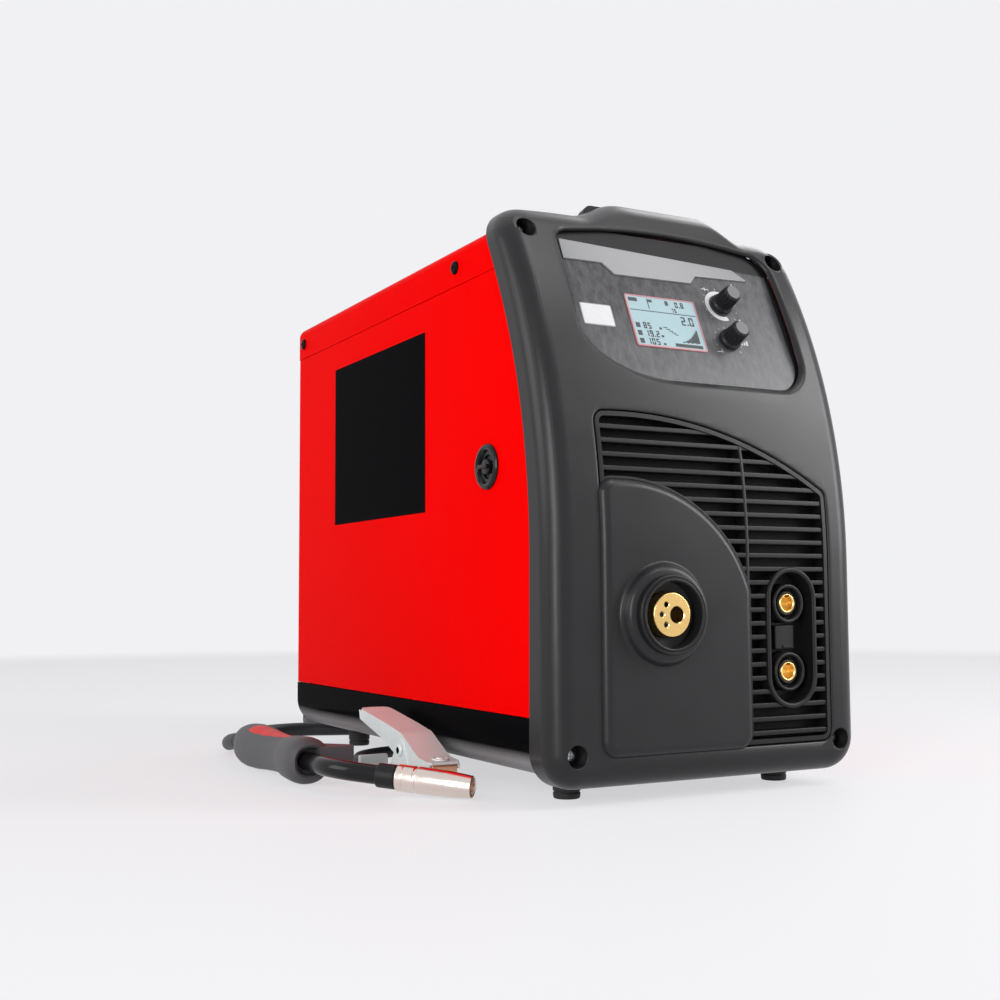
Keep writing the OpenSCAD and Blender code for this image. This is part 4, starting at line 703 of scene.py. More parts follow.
def pod_outline():
    """Front view of the quarter-round pod that carries the torch socket."""
    top, radius = POD_ARC_Z + POD_ARC_R, 9.0
    start = math.degrees(math.acos((POD_X1 - radius - POD_ARC_X) / (POD_ARC_R - radius)))
    shoulder = POD_ARC_Z + (POD_ARC_R - radius) * math.sin(math.radians(start))
    return (
        arc(POD_X1 - radius, GRILLE_Z0 + radius, radius, -90, 0, 6)
        + arc(POD_X1 - radius, shoulder, radius, 0, start, 4)
        + arc(POD_ARC_X, POD_ARC_Z, POD_ARC_R, start, 90, 28)[1:]
        + arc(GRILLE_X0 + radius, top - radius, radius, 90, 180, 6)
        + arc(GRILLE_X0 + radius, GRILLE_Z0 + radius, radius, 180, 270, 6)
    )


def cup_outline(growth=0.0):
    """Front view of the sunken cup round the two current sockets."""
    radius = 17.4 + growth
    return arc(SOCKET_X, SOCKET_ZS[0] - 3.0, radius, 180, 360, 16) + arc(
        SOCKET_X, SOCKET_ZS[1] + 3.0, radius, 0, 180, 16
    )


def mouth_cutter(points, radius, depth, steps=6):
    """Cuts an opening whose rim is rolled in with a radius."""
    return staged(points, [(radius + 1.0, -1.0)] + quarter_round(radius, steps) + [(0.0, depth)])


def through(points):
    """A cutter that reaches all the way through the grille."""
    return prism(points, -20, 30)


def rod(x, z, radius, y0, y1, steps=32):
    """A round bar along Y."""
    return lathed([(0, y0), (radius, y0), (radius, y1), (0, y1)], axis_along((0, 1, 0), (x, 0, z)), steps)


def raise_hump(form):
    """Draws the bezel's top up into the hump that runs on into the carrying handle."""
    sliced(form, "X", [-112.0 + 4.0 * k for k in range(57)])
    sliced(form, "Z", [HUMP_FOOT + 5.0 * k for k in range(7)])
    for vert in form.verts:
        rise = smooth_step((vert.co.x - HUMP[0]) / (HUMP[1] - HUMP[0]))
        side = min(rise, smooth_step((HUMP[3] - vert.co.x) / (HUMP[3] - HUMP[2])))
        drop = CROWN * (vert.co.x / BEZEL_HALF) ** 4
        vert.co.z += (HUMP_RISE * side - drop) * smooth_step((vert.co.z - HUMP_FOOT) / 30.0)
    # the drawn-up faces are no longer flat, and only flat ones are cut the same way every time
    bmesh.ops.triangulate(form, faces=form.faces)
    return form


def make_bezel():
    """The moulded bezel: rolled edges, hump, sunken panel, screw wells and the grille's opening."""
    outline, recess, wall = bezel_outline(), recess_outline(), 3.0
    outer = [(-inset, depth) for inset, depth in quarter_round(EDGE_R, 12)] + [(0.0, BEZEL_DEPTH)]
    inner = [(-wall - inset, wall + depth) for inset, depth in quarter_round(EDGE_R - wall, 12)] + [(-wall, 60.0)]
    shell = raise_hump(cut(staged(outline, outer), staged(outline, inner)))
    shell = combined(shell, prism(grown(recess, 2.5), 6.0, 27.0), "UNION")
    for x, z in BEZEL_SCREWS:
        shell = combined(shell, rod(x, z, 8.5, 1.2, 20.0), "UNION")
    shell = cut(shell, mouth_cutter(recess, 4.5, 60.0, 8), mouth_cutter(grille_outline(), 1.2, 60.0, 3))
    well = [(0, -2), (7.6, -2), (7.6, 0.0), (6.9, 0.4), (6.5, 1.2), (6.5, 12.0), (2.4, 12.0), (2.4, 30.0), (0, 30.0)]
    for x, z in BEZEL_SCREWS:
        shell = cut(shell, lathed(well, axis_along((0, 1, 0), (x, 0, z)), 32))
    for vert in shell.verts:
        if vert.co.y > EDGE_R:
            rise = (max(0.0, vert.co.z - ARC_Z) / (BEZEL_TOP - ARC_Z)) ** 2
            vert.co.y -= (vert.co.y - EDGE_R) / (BEZEL_DEPTH - EDGE_R) * LIP_TAPER * min(1.0, rise)
    piece("bezel_shell", bent_to_front(shell), "bezel_plastic", replaces=("front_bezel",), angle=38)


def make_pod():
    """The raised pod, with the soft boss and its step round the torch socket."""
    face = prism(grown(pod_outline(), 1.8), -POD_RISE, 8.0, 6.5, 10)
    hole = rod(TORCH_X, TORCH_Z, 22.0, -40.0, 40.0, 64)
    dish = [
        (0, 2.0), (34.6, 2.0), (34.6, 0.2), (33.4, 0.0), (32.4, -0.5), (31.6, -1.4), (31.0, -2.6), (30.5, -4.0),
        (29.9, -5.4), (29.0, -6.7), (27.8, -7.6), (26.4, -8.0), (24.8, -8.1), (0, -8.1),
    ]
    face = combined(face, lathed(dish, axis_along((0, 1, 0), (TORCH_X, -POD_RISE, TORCH_Z)), 96), "UNION")
    piece("socket_pod", bent_to_front(cut(face, hole)), "bezel_plastic", replaces=("front_bezel",))


def make_grille(props):
    """Slats, rib and frame lines, with the sunken cup of the current sockets."""
    outline, pod, cup = grille_outline(), pod_outline(), cup_outline()
    bars = bmesh.new()
    pitch, thick = props.slat_pitch / MM, props.slat_thickness / MM
    for k in range(int(SLATTED / pitch) + 1):
        z = GRILLE_Z0 + 6.0 + k * pitch
        box(bars, (GRILLE_X0 - 4, 1.2, z), (GRILLE_X1 + 4, 10.0, z + thick))
    front = [edge for edge in bars.edges if all(vert.co.y < 1.3 for vert in edge.verts)]
    bevel(bars, [edge for edge in front if abs(edge.verts[0].co.x - edge.verts[1].co.x) > 9], 0.7, 2)
    bars = combined(bars, prism(grown(outline, -1.5), 0.0, 12.0), "INTERSECT")
    bars = cut(bars, through(grown(pod, 1.6)), through(cup_outline(2.4)))
    frame_ring = prism(grown(outline, -0.7), 0.5, 10.0, 0.7, 2)
    frame_ring = cut(frame_ring, through(grown(outline, -3.9)), through(grown(pod, 0.3)))
    pod_ring = combined(prism(grown(pod, 3.0), 0.9, 10.0, 0.6, 2), through(grown(outline, -2.0)), "INTERSECT")
    pod_ring = cut(pod_ring, through(grown(pod, 0.4)))
    rib = soft_box((26.4, 1.0, 110.0), (29.2, 10.0, 260.0), 0.7)
    rib = combined(rib, through(grown(outline, -2.0)), "INTERSECT")
    wall = cut(prism(cup_outline(3.4), -0.2, 16.0, 1.3, 4), mouth_cutter(cup, 1.2, 14.0, 4))
    for z in SOCKET_ZS:
        wall = cut(wall, rod(SOCKET_X, z, 13.1, 0.0, 30.0, 48))
    plate = soft_box((SOCKET_X - 8.0, 8.0, 90.5), (SOCKET_X + 8.0, 14.4, 106.5), 1.0, 3)
    lip = soft_box((SOCKET_X - 2.0, 7.2, 91.5), (SOCKET_X + 6.0, 8.4, 93.2), 0.3, 2)
    whole = joined(bars, frame_ring, pod_ring, rib, wall, plate, lip)
    piece("grille_slats", bent_to_front(whole), "grille_plastic", replaces=("front_grille",), angle=28)
    # painted shade: a near-black sheet behind the slats stands in for the shade inside the case
    back = prism(grown(outline, 2.0), 10.6, 11.4)
    back = cut(back, through(grown(cup, 3.0)), rod(TORCH_X, TORCH_Z, 22.0, 0.0, 40.0, 48))
    piece("grille_painted_shade", bent_to_front(back), "painted_shade_plastic")


# ------------------------------------------------------------------ control panel
def on_fascia(form):
    """Places a form drawn with X across, Z up and -Y outwards on the leaning panel."""
    return moved(form, FASCIA)


def stuck(name, outline, thick, finish, edge=0.0, segments=2, replaces=()):
    """A thin plate that lies on the panel's face."""
    piece(name, on_fascia(prism(outline, -FASCIA_T - thick, -FASCIA_T, edge, segments)), finish, replaces=replaces)


def make_trim():
    """The silver strip across the panel, and the small bare badge with its rim."""
    strip = [(-77, 46.5), (-77, 30.5), (-47, 31), (-39, 22.5), (23.5, 23.3), (29.5, 30), (74, 31.5), (74, 33), (64, 40)]
    stuck("trim_strip", strip, 1.2, "silver_trim", 0.5, replaces=("fascia_trim",))
    stuck("badge_plate", round_rect(-73.0, -20.0, -49.8, -4.2, 0.8, 3), 0.5, "white_print", 0.2)
    stuck("badge_rim", round_rect(-73.7, -20.7, -49.1, -3.5, 1.3, 3), 0.3, "silver_trim", 0.1, 1)


SEGMENTS = {  # which of the seven bars make each figure: top, upper pair, middle, lower pair, bottom
    "0": "abcdef", "1": "bc", "2": "abged", "3": "abgcd", "4": "fgbc", "5": "afgcd", "6": "afgedc", "7": "abc",
    "8": "abcdefg", "9": "abcdfg",
}


def bar(form, x0, z0, x1, z1, y, turn=None):
    """One printed bar."""
    box(form, (x0, y, z0), (x1, y + INK, z1), turn)


def figure(form, char, x, z, width, height, line, y):
    """One seven-bar figure; each bar stops a little short of its neighbours."""
    half, gap = height / 2, line * 0.25
    bars = {
        "a": (x + gap, z + height - line, x + width - gap, z + height),
        "g": (x + gap, z + half - line / 2, x + width - gap, z + half + line / 2),
        "d": (x + gap, z, x + width - gap, z + line),
        "b": (x + width - line, z + half + gap, x + width, z + height - gap),
        "c": (x + width - line, z + gap, x + width, z + half - gap),
        "f": (x, z + half + gap, x + line, z + height - gap),
        "e": (x, z + gap, x + line, z + half - gap),
    }
    for name in SEGMENTS[char]:
        bar(form, *bars[name], y)


def number(form, text, x, z, height, line, y):
    """A row of figures, with a dot where the text has one."""
    width = height * 0.52
    for char in text:
        if char == ".":
            bar(form, x - line * 0.2, z, x + line * 0.9, z + line * 1.1, y)
            x += line * 1.7
        else:
            figure(form, char, x, z, width, height, line, y)
            x += width + line * 1.1


def make_display():
    """The display: its rim, its pale glass and generic readings."""
    cx, cz, width, height = LCD
    x0, z0, x1, z1 = cx - width / 2, cz - height / 2, cx + width / 2, cz + height / 2
    pane = round_rect(x0 + 1.0, z0 + 1.0, x1 - 1.0, z1 - 1.0, 1.0, 3)
    rim = prism(round_rect(x0, z0, x1, z1, 1.6, 3), -FASCIA_T - 0.9, -FASCIA_T, 0.3, 2)
    piece("display_rim", on_fascia(cut(rim, prism(pane, -9, 9))), "red_print")
    glass = prism(pane, -FASCIA_T - 0.6, -FASCIA_T - 0.05)
    piece("display_glass", on_fascia(glass), "display_glass", replaces=("lcd_window",))
    ink, y = bmesh.new(), -FASCIA_T - 0.7
    # symbols and figures of the upper rows, from the upper left corner
    for left, low, right, high in (
        (2.5, -5.4, 9.5, -2.4), (17.5, -10.4, 18.1, -2.2), (18.1, -4.8, 21.5, -2.6), (32.0, -6.0, 34.6, -2.4),
        (2.0, -12.6, width - 2.0, -12.0),
    ):
        bar(ink, x0 + left, z1 + low, x0 + right, z1 + high, y)
    for text, left, low, size, line in (
        ("0.8", 40.0, -7.0, 4.6, 0.8), ("75", 36.0, -11.2, 3.2, 0.6), ("2.0", 41.5, -21.0, 6.8, 1.05),
    ):
        number(ink, text, x0 + left, z1 + low, size, line, y)
    # the three lower rows, the rising bars and the slope, from the lower left corner
    for k, text in enumerate(("85", "19.2", "105")):
        z = z0 + 14.6 - 6.2 * k
        bar(ink, x0 + 3.0, z, x0 + 6.4, z + 3.8, y)
        bar(ink, x0 + 21.4, z, x0 + 23.4, z + 1.6, y)
        number(ink, text, x0 + 9.0, z - 0.4, 5.0, 0.85, y)
    for k in range(12):
        x, low = x0 + 38.0 + k * 1.2, z0 + 5.6 + (0.5 if k % 3 else 0.0)
        bar(ink, x, low, x + 1.05, z0 + 6.6 + (k / 11.0) ** 1.7 * 10.4, y)
    bar(ink, x0 + 31.0, z0 + 2.0, x1 - 3.6, z0 + 4.6, y)
    for k in range(5):
        x, z = x0 + 25.0 + k * 1.9, z0 + 16.4 - k * 1.3
        bar(ink, x, z, x + 3.2, z + 0.6, y)
    piece("display_figures", on_fascia(ink), "dark_print", weighted=False)


def make_dials():
    """Fluted dials with pale caps, the scale ring and the marks round them."""
    skirt = [
        (0, 1.25), (8.1, 1.25), (8.25, 2.2), (8.1, 3.6), (7.3, 4.4), (7.0, 4.8), (6.5, 15.6), (5.3, 16.8), (0, 16.8),
    ]
    cap = [(0, 16.4), (5.0, 16.4), (5.0, 16.95), (4.5, 17.0), (0, 17.0)]
    marks, y = bmesh.new(), -FASCIA_T - 0.15
    for name, (x, z) in DIALS.items():
        body = "dial_" + name
        out = Matrix.Translation((x, -FASCIA_T, z)) @ Matrix.Rotation(math.pi / 2, 4, "X")
        for part, form, finish, replaced in (
            ("_knob", fluted(lathed(skirt, Matrix(), 96, 0.5), 5.4, 16, 0.075, 0.5, 4.9), "dark_plastic", (body,)),
            ("_cap", lathed(cap, Matrix(), 48, 0.3), "dial_cap", ()),
            ("_pointer", soft_box((-0.35, 4.6, 15.0), (0.35, 6.6, 16.85), 0.1, 1), "white_print", ()),
        ):
            piece(body + part, on_fascia(moved(form, out)), finish, body, replaced)
        reach = 10.4 if name == "lower" else 13.2
        for k in range(11):
            turn = Matrix.Translation((x, 0, z)) @ Matrix.Rotation(math.radians(-135 + 27 * k), 4, "Y")
            bar(marks, -0.16, reach, 0.16, reach + (0.9 if k % 5 else 1.6), y, turn)
    x, z = DIALS["upper"]
    ring = arc(x, z, 12.2, -70, -290, 40) + arc(x, z, 9.0, -290, -70, 40)
    stuck("dial_scale", ring[::-1], 0.25, "white_print")
    bar(marks, x - 12.0, z + 13.0, x - 6.0, z + 13.5, y)
    bar(marks, x - 9.3, z + 11.8, x - 8.7, z + 14.6, y)
    x, z = DIALS["lower"]
    for k in range(3):
        bar(marks, x + 11.0 + k * 2.2, z - 2.0, x + 12.4 + k * 2.2, z - 0.6 + k * 1.2, y)
    bar(marks, x - 12.0, z - 9.4, x - 7.0, z - 9.0, y)
    piece("panel_marks", on_fascia(marks), "white_print", weighted=False)


# ------------------------------------------------------------------ sockets
def make_torch_socket():
    """The torch connector: ribbed collar, brass face, its bore and its three pilot holes."""
    # radii and heights measured outwards from the bezel's face
    collar = [
        (0, -30.0), (22.0, -30.0), (22.0, 12.0), (24.5, 12.0), (24.5, 15.0), (24.1, 15.6), (23.4, 15.9), (22.9, 15.4),
        (22.4, 15.4), (22.0, 16.4), (21.2, 16.5), (20.5, 16.0), (20.5, 5.4), (16.0, 4.4), (14.2, 4.4), (14.2, 2.0),
        (0, 2.0),
    ]
    out, rise = axis_along((0, -1, 0), (TORCH_X, FRONT_Y, TORCH_Z)), 13.5
    piece("torch_collar", lathed(collar, out, 96, 0.3, 2), "dark_plastic", replaces=("torch_socket",))
    brass = lathed([(0, -30.0), (14.0, -30.0), (14.0, 12.4), (13.2, rise), (0, rise)], out, 96, 0.4)
    holes = ((3.5, 0.0, 5.0, 25.0), (-4.2, 6.3, 1.6, 14.0), (-7.6, 0.3, 1.6, 14.0), (-4.5, -6.0, 1.6, 14.0))
    places = [axis_along((0, -1, 0), (TORCH_X + x, FRONT_Y - rise, TORCH_Z + z)) for x, z, _, _ in holes]
    for place, (_, _, radius, depth) in zip(places, holes):
        lead = [(0, 1), (radius + 0.7, 1), (radius + 0.5, 0), (radius, -0.5), (radius, -depth), (0, -depth)]
        brass = cut(brass, lathed(lead, place, 32))
    piece("torch_brass", brass, "brass", replaces=("torch_contact",))
    sleeve = [(0, -6), (1.35, -6), (1.35, -0.5), (0.75, -0.3), (0.7, -2.5), (0, -2.5)]
    piece("pilot_pins", joined(*(lathed(sleeve, place, 24) for place in places[2:])), "dark_plastic")


def make_output_sockets():
    """The two current sockets: insulated bodies and brass bores with their bayonet slots."""
    body = [
        (0, -28), (12.8, -28), (12.8, -4.0), (12.3, -3.2), (11.6, -3.0), (10.9, -3.2), (10.4, -4.0), (10.4, -9.0),
        (9.6, -9.4), (8.6, -8.4), (7.9, -5.4), (7.2, -4.8), (6.55, -5.2), (6.55, -12), (0, -12),
    ]
    ring = [(0, -34), (6.5, -34), (6.5, -5.3), (5.9, -4.5), (5.2, -4.6), (4.5, -5.6), (4.5, -11), (0, -11)]
    for name, z in zip(("lower", "upper"), SOCKET_ZS):
        out = axis_along((0, -1, 0), (SOCKET_X, FRONT_Y, z))
        shell = lathed(body, out, 72, 0.35, 2)
        piece("output_body_" + name, shell, "dark_plastic", replaces=("output_sockets",))
        slot = bmesh.new()
        box(slot, (SOCKET_X - 1.6, FRONT_Y + 4.0, z + 3.0), (SOCKET_X + 1.6, FRONT_Y + 20.0, z + 5.7))
        brass = cut(lathed(ring, out, 64, 0.25, 2), slot)
        piece("output_brass_" + name, brass, "brass", replaces=("output_contacts",))


# ------------------------------------------------------------------ covers
def make_door():
    """The side door with its rolled edge, the bare black panel, and the latch ring with its knob."""
    low, high = PAN_TOP + 0.3, FLANGE_Z - 0.3
    front = [(lip_y(z, 0.5), z) for z in (low, *(150.0 + 9.0 * k for k in range(22)), high) if z <= high]
    outline = [(REAR_Y - 1.0, low), (REAR_Y - 1.0, high)] + front[::-1]
    sheet = sideways(prism(outline, -SIDE_X, -SIDE_X + SHEET, 0.6, 2))
    hole = [(0, -3), (LATCH_HOLE_R, -3), (LATCH_HOLE_R, 5), (0, 5)]
    sheet = cut(sheet, lathed(hole, axis_along((1, 0, 0), (-SIDE_X, LATCH_Y, LATCH_Z))))
    # the bent edges and the lugs on the hinge pins
    sheet = joined(
        sheet,
        soft_box((-117.0, FRONT_Y + 50, low), (-110.0, 217.5, low + SHEET), 0.3, 1),
        soft_box((-117.0, FRONT_Y + 90, high - SHEET), (-110.0, 217.5, high), 0.3, 1),
        soft_box((-117.0, 227.5, low), (-113.5, 229.0, high), 0.3, 1),
        *(lathed([(0, 0), (2.9, 0), (2.9, 12), (0, 12)], Matrix.Translation((-115.0, 225.5, z)), 32)
          for z in (low + 0.3, high - 12.3)),
    )
    piece("door_sheet", sheet, "red_enamel", "side_door", ("side_door",))
    black = prism(round_rect(-38.8, 186.5, 139.5, 317.1, 0.8, 2), -SIDE_X - 0.14, -SIDE_X + 0.2)
    piece("door_panel", sideways(black), "panel_black", "side_door")
    out = axis_along((-1, 0, 0), (-SIDE_X, LATCH_Y, LATCH_Z))
    ring = [
        (0, -4.4), (8.0, -4.4), (8.0, -0.2), (15.2, 0.0), (15.1, 1.2), (14.0, 2.4), (12.6, 2.7), (11.4, 2.2),
        (LATCH_HOLE_R, 0.4), (9.6, -1.6), (6.4, -2.4), (0, -2.4),
    ]
    piece("latch_ring", lathed(ring, out, 72, 0.4), "gloss_plastic", "side_door", ("latch_bezel",))
    knob = [(0, -2.8), (3.6, -2.8), (4.6, -1.6), (5.4, 1.0), (4.6, 2.2), (0, 2.6)]
    across = out @ Matrix.Rotation(math.pi / 2, 4, "Z")
    latch = joined(
        lathed(knob, across, 48, 0.6, 4),
        moved(soft_box((-1.4, -6.2, -2.0), (1.4, 6.2, 5.0), 0.9, 3), across),
        soft_box((-117.0 + 7.4, LATCH_Y - 5, LATCH_Z - 5), (-117.0 + 9.4, LATCH_Y + 5, LATCH_Z + 22), 0.4, 2),
        lathed([(0, 2.0), (3.4, 2.0), (3.4, -9.0), (0, -9.0)], out, 32),
    )
    piece("latch_turn", latch, "gloss_plastic", "door_latch", ("latch_knob",))


def cover_section(inset):
    """The cover's section: up its right side, over the top and down to the flange above the door."""
    x, top, r = SIDE_X - inset, COVER_TOP - inset, 9.0 - inset
    corners = arc(x - r, top - r, r, 0, 90, 8) + arc(-x + r, top - r, r, 90, 180, 8)
    return [(x, PAN_TOP + 0.3)] + corners + [(-x, FLANGE_Z)]


def make_cover():
    """The folded top cover, its louvres, the bent edge over the door and the trough's opening."""
    fold = prism(cover_section(0.0) + cover_section(SHEET)[::-1], FRONT_Y + 20.0, REAR_Y)
    low, high = 40.0, 384.0
    outline = [(REAR_Y, low), (REAR_Y, high)]
    outline += [(lip_y(z, 0.3), z) for z in [high - 10.0 * k for k in range(24)] + [low]]
    fold = combined(fold, sideways(prism(outline, -130.0, 130.0)), "INTERSECT")
    hole = lofted([[(x, y, z) for x, y in round_rect(-46, -90, 46, 142, 14, 8)] for z in (354.0, 384.0)])
    fold = bevel_folds(cut(fold, hole, slot_row((112, -70, 110), (125, -65, 150), 14)))
    piece("cover_sheet", fold, "red_enamel", replaces=("top_cover",))


def pan_section(inset):
    """The pan's section: down its left side, across below and up its right side."""
    x, low, r = SIDE_X - inset, PAN_Z + inset, 22.0 - inset
    corners = arc(-x + r, low + r, r, 180, 270, 12) + arc(x - r, low + r, r, 270, 360, 12)
    return [(-x, PAN_TOP)] + corners + [(x, PAN_TOP)]


def make_pan():
    """The black pan below, folded round its lower corners."""
    fold = prism(pan_section(0.0) + pan_section(SHEET)[::-1], FRONT_Y + BEZEL_DEPTH + 0.3, REAR_Y)
    fold = bevel_folds(cut(fold, slot_row((34, -60, 10), (78, -56, 20), 9)))
    piece("pan_sheet", fold, "pan_enamel", replaces=("base_pan",))


def make_feet():
    """Ribbed rubber feet."""
    profile = [(2.6, 0), (8.0, 0), (8.5, 0.8), (8.7, 3.5), (8.2, 3.9), (8.2, 4.5), (8.8, 5.0), (9.0, 14.9), (2.6, 14.9)]
    foot = rounded_profile(profile, 0.4, 2) + [(2.6, 0)]
    feet = [lathed(foot, Matrix.Translation((x, y, 0))) for x in (-83.0, 83.0) for y in (-172.0, 172.0)]
    piece("foot_pads", joined(*feet), "foot_rubber", replaces=("rubber_feet",))


def upright(corners, stages):
    """A post whose plan is given as a function of how far it is widened, at each height."""
    return lofted([[(x, y, z) for x, y in corners(widened)] for z, widened in stages])


def make_handle():
    """The carrying handle: a soft grip that runs on from the bezel's hump, ribbed beneath."""
    front = lip_y(BEZEL_TOP) + 0.3
    rings = []
    for share in (k / 24 for k in range(25)):
        y = front + (HANDLE_REAR - front) * share
        half = 34.0 - 17.0 * smooth_step(share / 0.16) + 4.0 * smooth_step((share - 0.9) / 0.1)
        top = HANDLE_TOP - 1.5 * smooth_step((share - 0.93) / 0.07)
        section = round_rect(-half, HANDLE_LOW, half, top, (4.0, 6.5, 6.5, 4.0), 6)
        rings.append([(x, y, z) for x, z in section])
    grip = lofted(rings)
    for y0, y1, half in ((front, -98.0, 24.0), (150.0, HANDLE_REAR, 17.0)):
        post = upright(
            lambda g: round_rect(-half - g, y0, half + g, y1 + g * 0.5, 5.0, 5),
            ((COVER_TOP, 4.0), (372.0, 1.5), (377.0, 0.0), (394.0, 0.0)),
        )
        grip = combined(grip, post, "UNION")
    foot = upright(
        lambda g: round_rect(-30 + g, 150 + g, 30 - g, HANDLE_REAR - g, 6.0, 5),
        ((COVER_TOP, 0.0), (372.2, 0.0), (373.0, 1.0)),
    )
    ribs = [soft_box((-14.5, -70 + 20 * k, 384.2), (14.5, -66 + 20 * k, 388.0), 1.0, 2) for k in range(10)]
    piece("carry_grip", joined(grip, foot, *ribs), "handle_plastic", replaces=("carry_handle",), angle=40)


# ------------------------------------------------------------------ torch
HANDLE = (  # distance from the rear, half width, half height
    (0.0, 9.0, 9.0), (1.2, 11.2, 11.2), (3.0, 12.9, 12.9), (6.0, 14.2, 14.5), (12.0, 15.0, 15.6), (20.0, 15.5, 16.0),
    (36.0, 15.0, 15.6), (55.0, 13.6, 14.2), (74.0, 12.8, 13.2), (88.0, 12.7, 13.0), (97.0, 13.0, 13.3),
    (103.0, 13.6, 13.9), (104.2, 14.6, 14.8), (108.0, 15.0, 15.0), (115.0, 15.4, 15.4), (122.0, 15.7, 15.7),
    (128.0, 15.5, 15.5), (131.5, 14.6, 14.6), (134.0, 13.0, 13.0), (135.0, 11.2, 11.2), (134.0, 9.6, 9.6),
    (126.0, 8.6, 8.6),
)
TORCH_REAR, NECK_START, NECK_R = 93.0, -64.0, 45.0
NECK_TURN, NECK_TILT = math.radians(45), math.radians(7)
NECK_END = NECK_R * NECK_TURN


def handle_size(distance):
    """Half width and half height of the handle at a distance from its rear."""
    for (d0, w0, h0), (d1, w1, h1) in zip(HANDLE, HANDLE[1:]):
        if d0 <= distance <= d1:
            share = smooth_step((distance - d0) / (d1 - d0)) if d1 > d0 else 0.0
            return w0 + (w1 - w0) * share, h0 + (h1 - h0) * share
    return HANDLE[-1][1:]


def oval(turn, half_w, half_h, power=2.3):
    """X and Z on the squared-off oval of the torch handle, at a turn round its axis."""
    c, s = math.cos(turn), math.sin(turn)
    return (
        TORCH_AXIS[0] + half_w * math.copysign(abs(c) ** (2 / power), c),
        TORCH_AXIS[1] + half_h * math.copysign(abs(s) ** (2 / power), s),
    )


def handle_ring(y, half_w, half_h, count=56):
    """One section of the torch handle."""
    spots = (oval(2 * math.pi * k / count, half_w, half_h) for k in range(count))
    return [(x, y, z) for x, z in spots]


def make_torch_handle():
    """The torch handle with its trigger guard, the cable's bend relief and the soft insert on top."""
    body = lofted([handle_ring(TORCH_REAR - distance, w, h) for distance, w, h in HANDLE])
    for vert in body.verts:
        vert.co.z = max(vert.co.z, 0.3)
    trigger_slot = soft_box((-194.5, -18.0, 6.0), (-180.0, 22.0, 26.0), 1.5, 2)
    guard = [(6, 12), (14, 17), (24, 27), (31, 35), (31.5, 41), (26, 45), (6, 44)]
    guard = prism([(TORCH_AXIS[0] + x, y) for x, y in guard], -10.2, 9.4, 3.2, 4)
    guard = moved(guard, Matrix.Translation((0, 0, TORCH_AXIS[1])) @ Matrix.Rotation(math.pi / 2, 4, "X"))
    body = combined(cut(body, trigger_slot), guard, "UNION")
    piece("torch_body", body, "torch_plastic", replaces=("torch_handle",), angle=40)
    relief = [(0, 0.0), (8.6, 0.0), (9.0, 1.0), (9.0, 3.0)]
    for k in range(6):
        y, r = 4.0 + 4.0 * k, 8.6 - 0.42 * k
        relief += [(r, y), (r, y + 2.4), (r - 1.1, y + 2.9), (r - 1.1, y + 3.6)]
    relief += [(6.3, 29.0), (6.05, 30.0), (0, 30.0)]
    piece("torch_boot", lathed(relief, axis_along((0, 1, -0.03), (-205.0, 90.5, 15.9)), 48, 0.3, 2), "cable_rubber")
    pad = bmesh.new()
    for vert in bmesh.ops.create_grid(pad, x_segments=12, y_segments=36, size=1.0)["verts"]:
        u, v = vert.co.x, vert.co.y
        distance = 63.0 - 39.5 * v
        width = 0.5 * math.sqrt(max(0.0, 1 - v * v)) * (1.0 + 0.3 * v)
        w, h = handle_size(distance)
        lift = 0.75 * (1 - max(u * u, v * v) ** 4) - 0.5
        x, z = oval(math.radians(100 + 14 * v) + u * width, w + lift, h + lift)
        vert.co = (x, TORCH_REAR - distance, z)
    piece("torch_insert", plated(pad, 1.0), "red_soft", replaces=("torch_grip",), angle=60)


def bend_path(t):
    """Point and direction of the torch neck: straight, then a bend that tips to the floor."""
    turn = min(max(t / NECK_R, 0.0), NECK_TURN)
    along = Vector((math.sin(turn), -math.cos(turn), 0))
    place = Vector((NECK_R * (1 - math.cos(turn)), -NECK_R * math.sin(turn), 0)) + along * (t - NECK_R * turn)
    tilt = Matrix.Rotation(NECK_TILT, 3, "Y")
    return tilt @ place + Vector((TORCH_AXIS[0], NECK_START, TORCH_AXIS[1])), tilt @ along


def make_neck():
    """The bent neck and the insulator at its end."""
    rings, up = [], Vector((0, 0, 1))
    for k in range(41):
        place, along = bend_path(-48.0 + (NECK_END + 63.0) * k / 40)
        side = along.cross(up)
        turns = (2 * math.pi * j / 32 for j in range(32))
        rings.append([tuple(place + 6.2 * (math.cos(a) * side + math.sin(a) * up)) for a in turns])
    piece("neck_tube", lofted(rings), "gloss_plastic", replaces=("torch_neck",), angle=50)
    place, along = bend_path(NECK_END + 13.0)
    sleeve = [(0, 0), (6.6, 0), (7.6, 0.6), (7.8, 1.4), (7.8, 12.6), (7.2, 13.2), (6.9, 13.6), (6.9, 14.0), (0, 14.0)]
    piece("neck_insulator", lathed(sleeve, axis_along(along, place), 48, 0.3, 2), "dark_plastic")


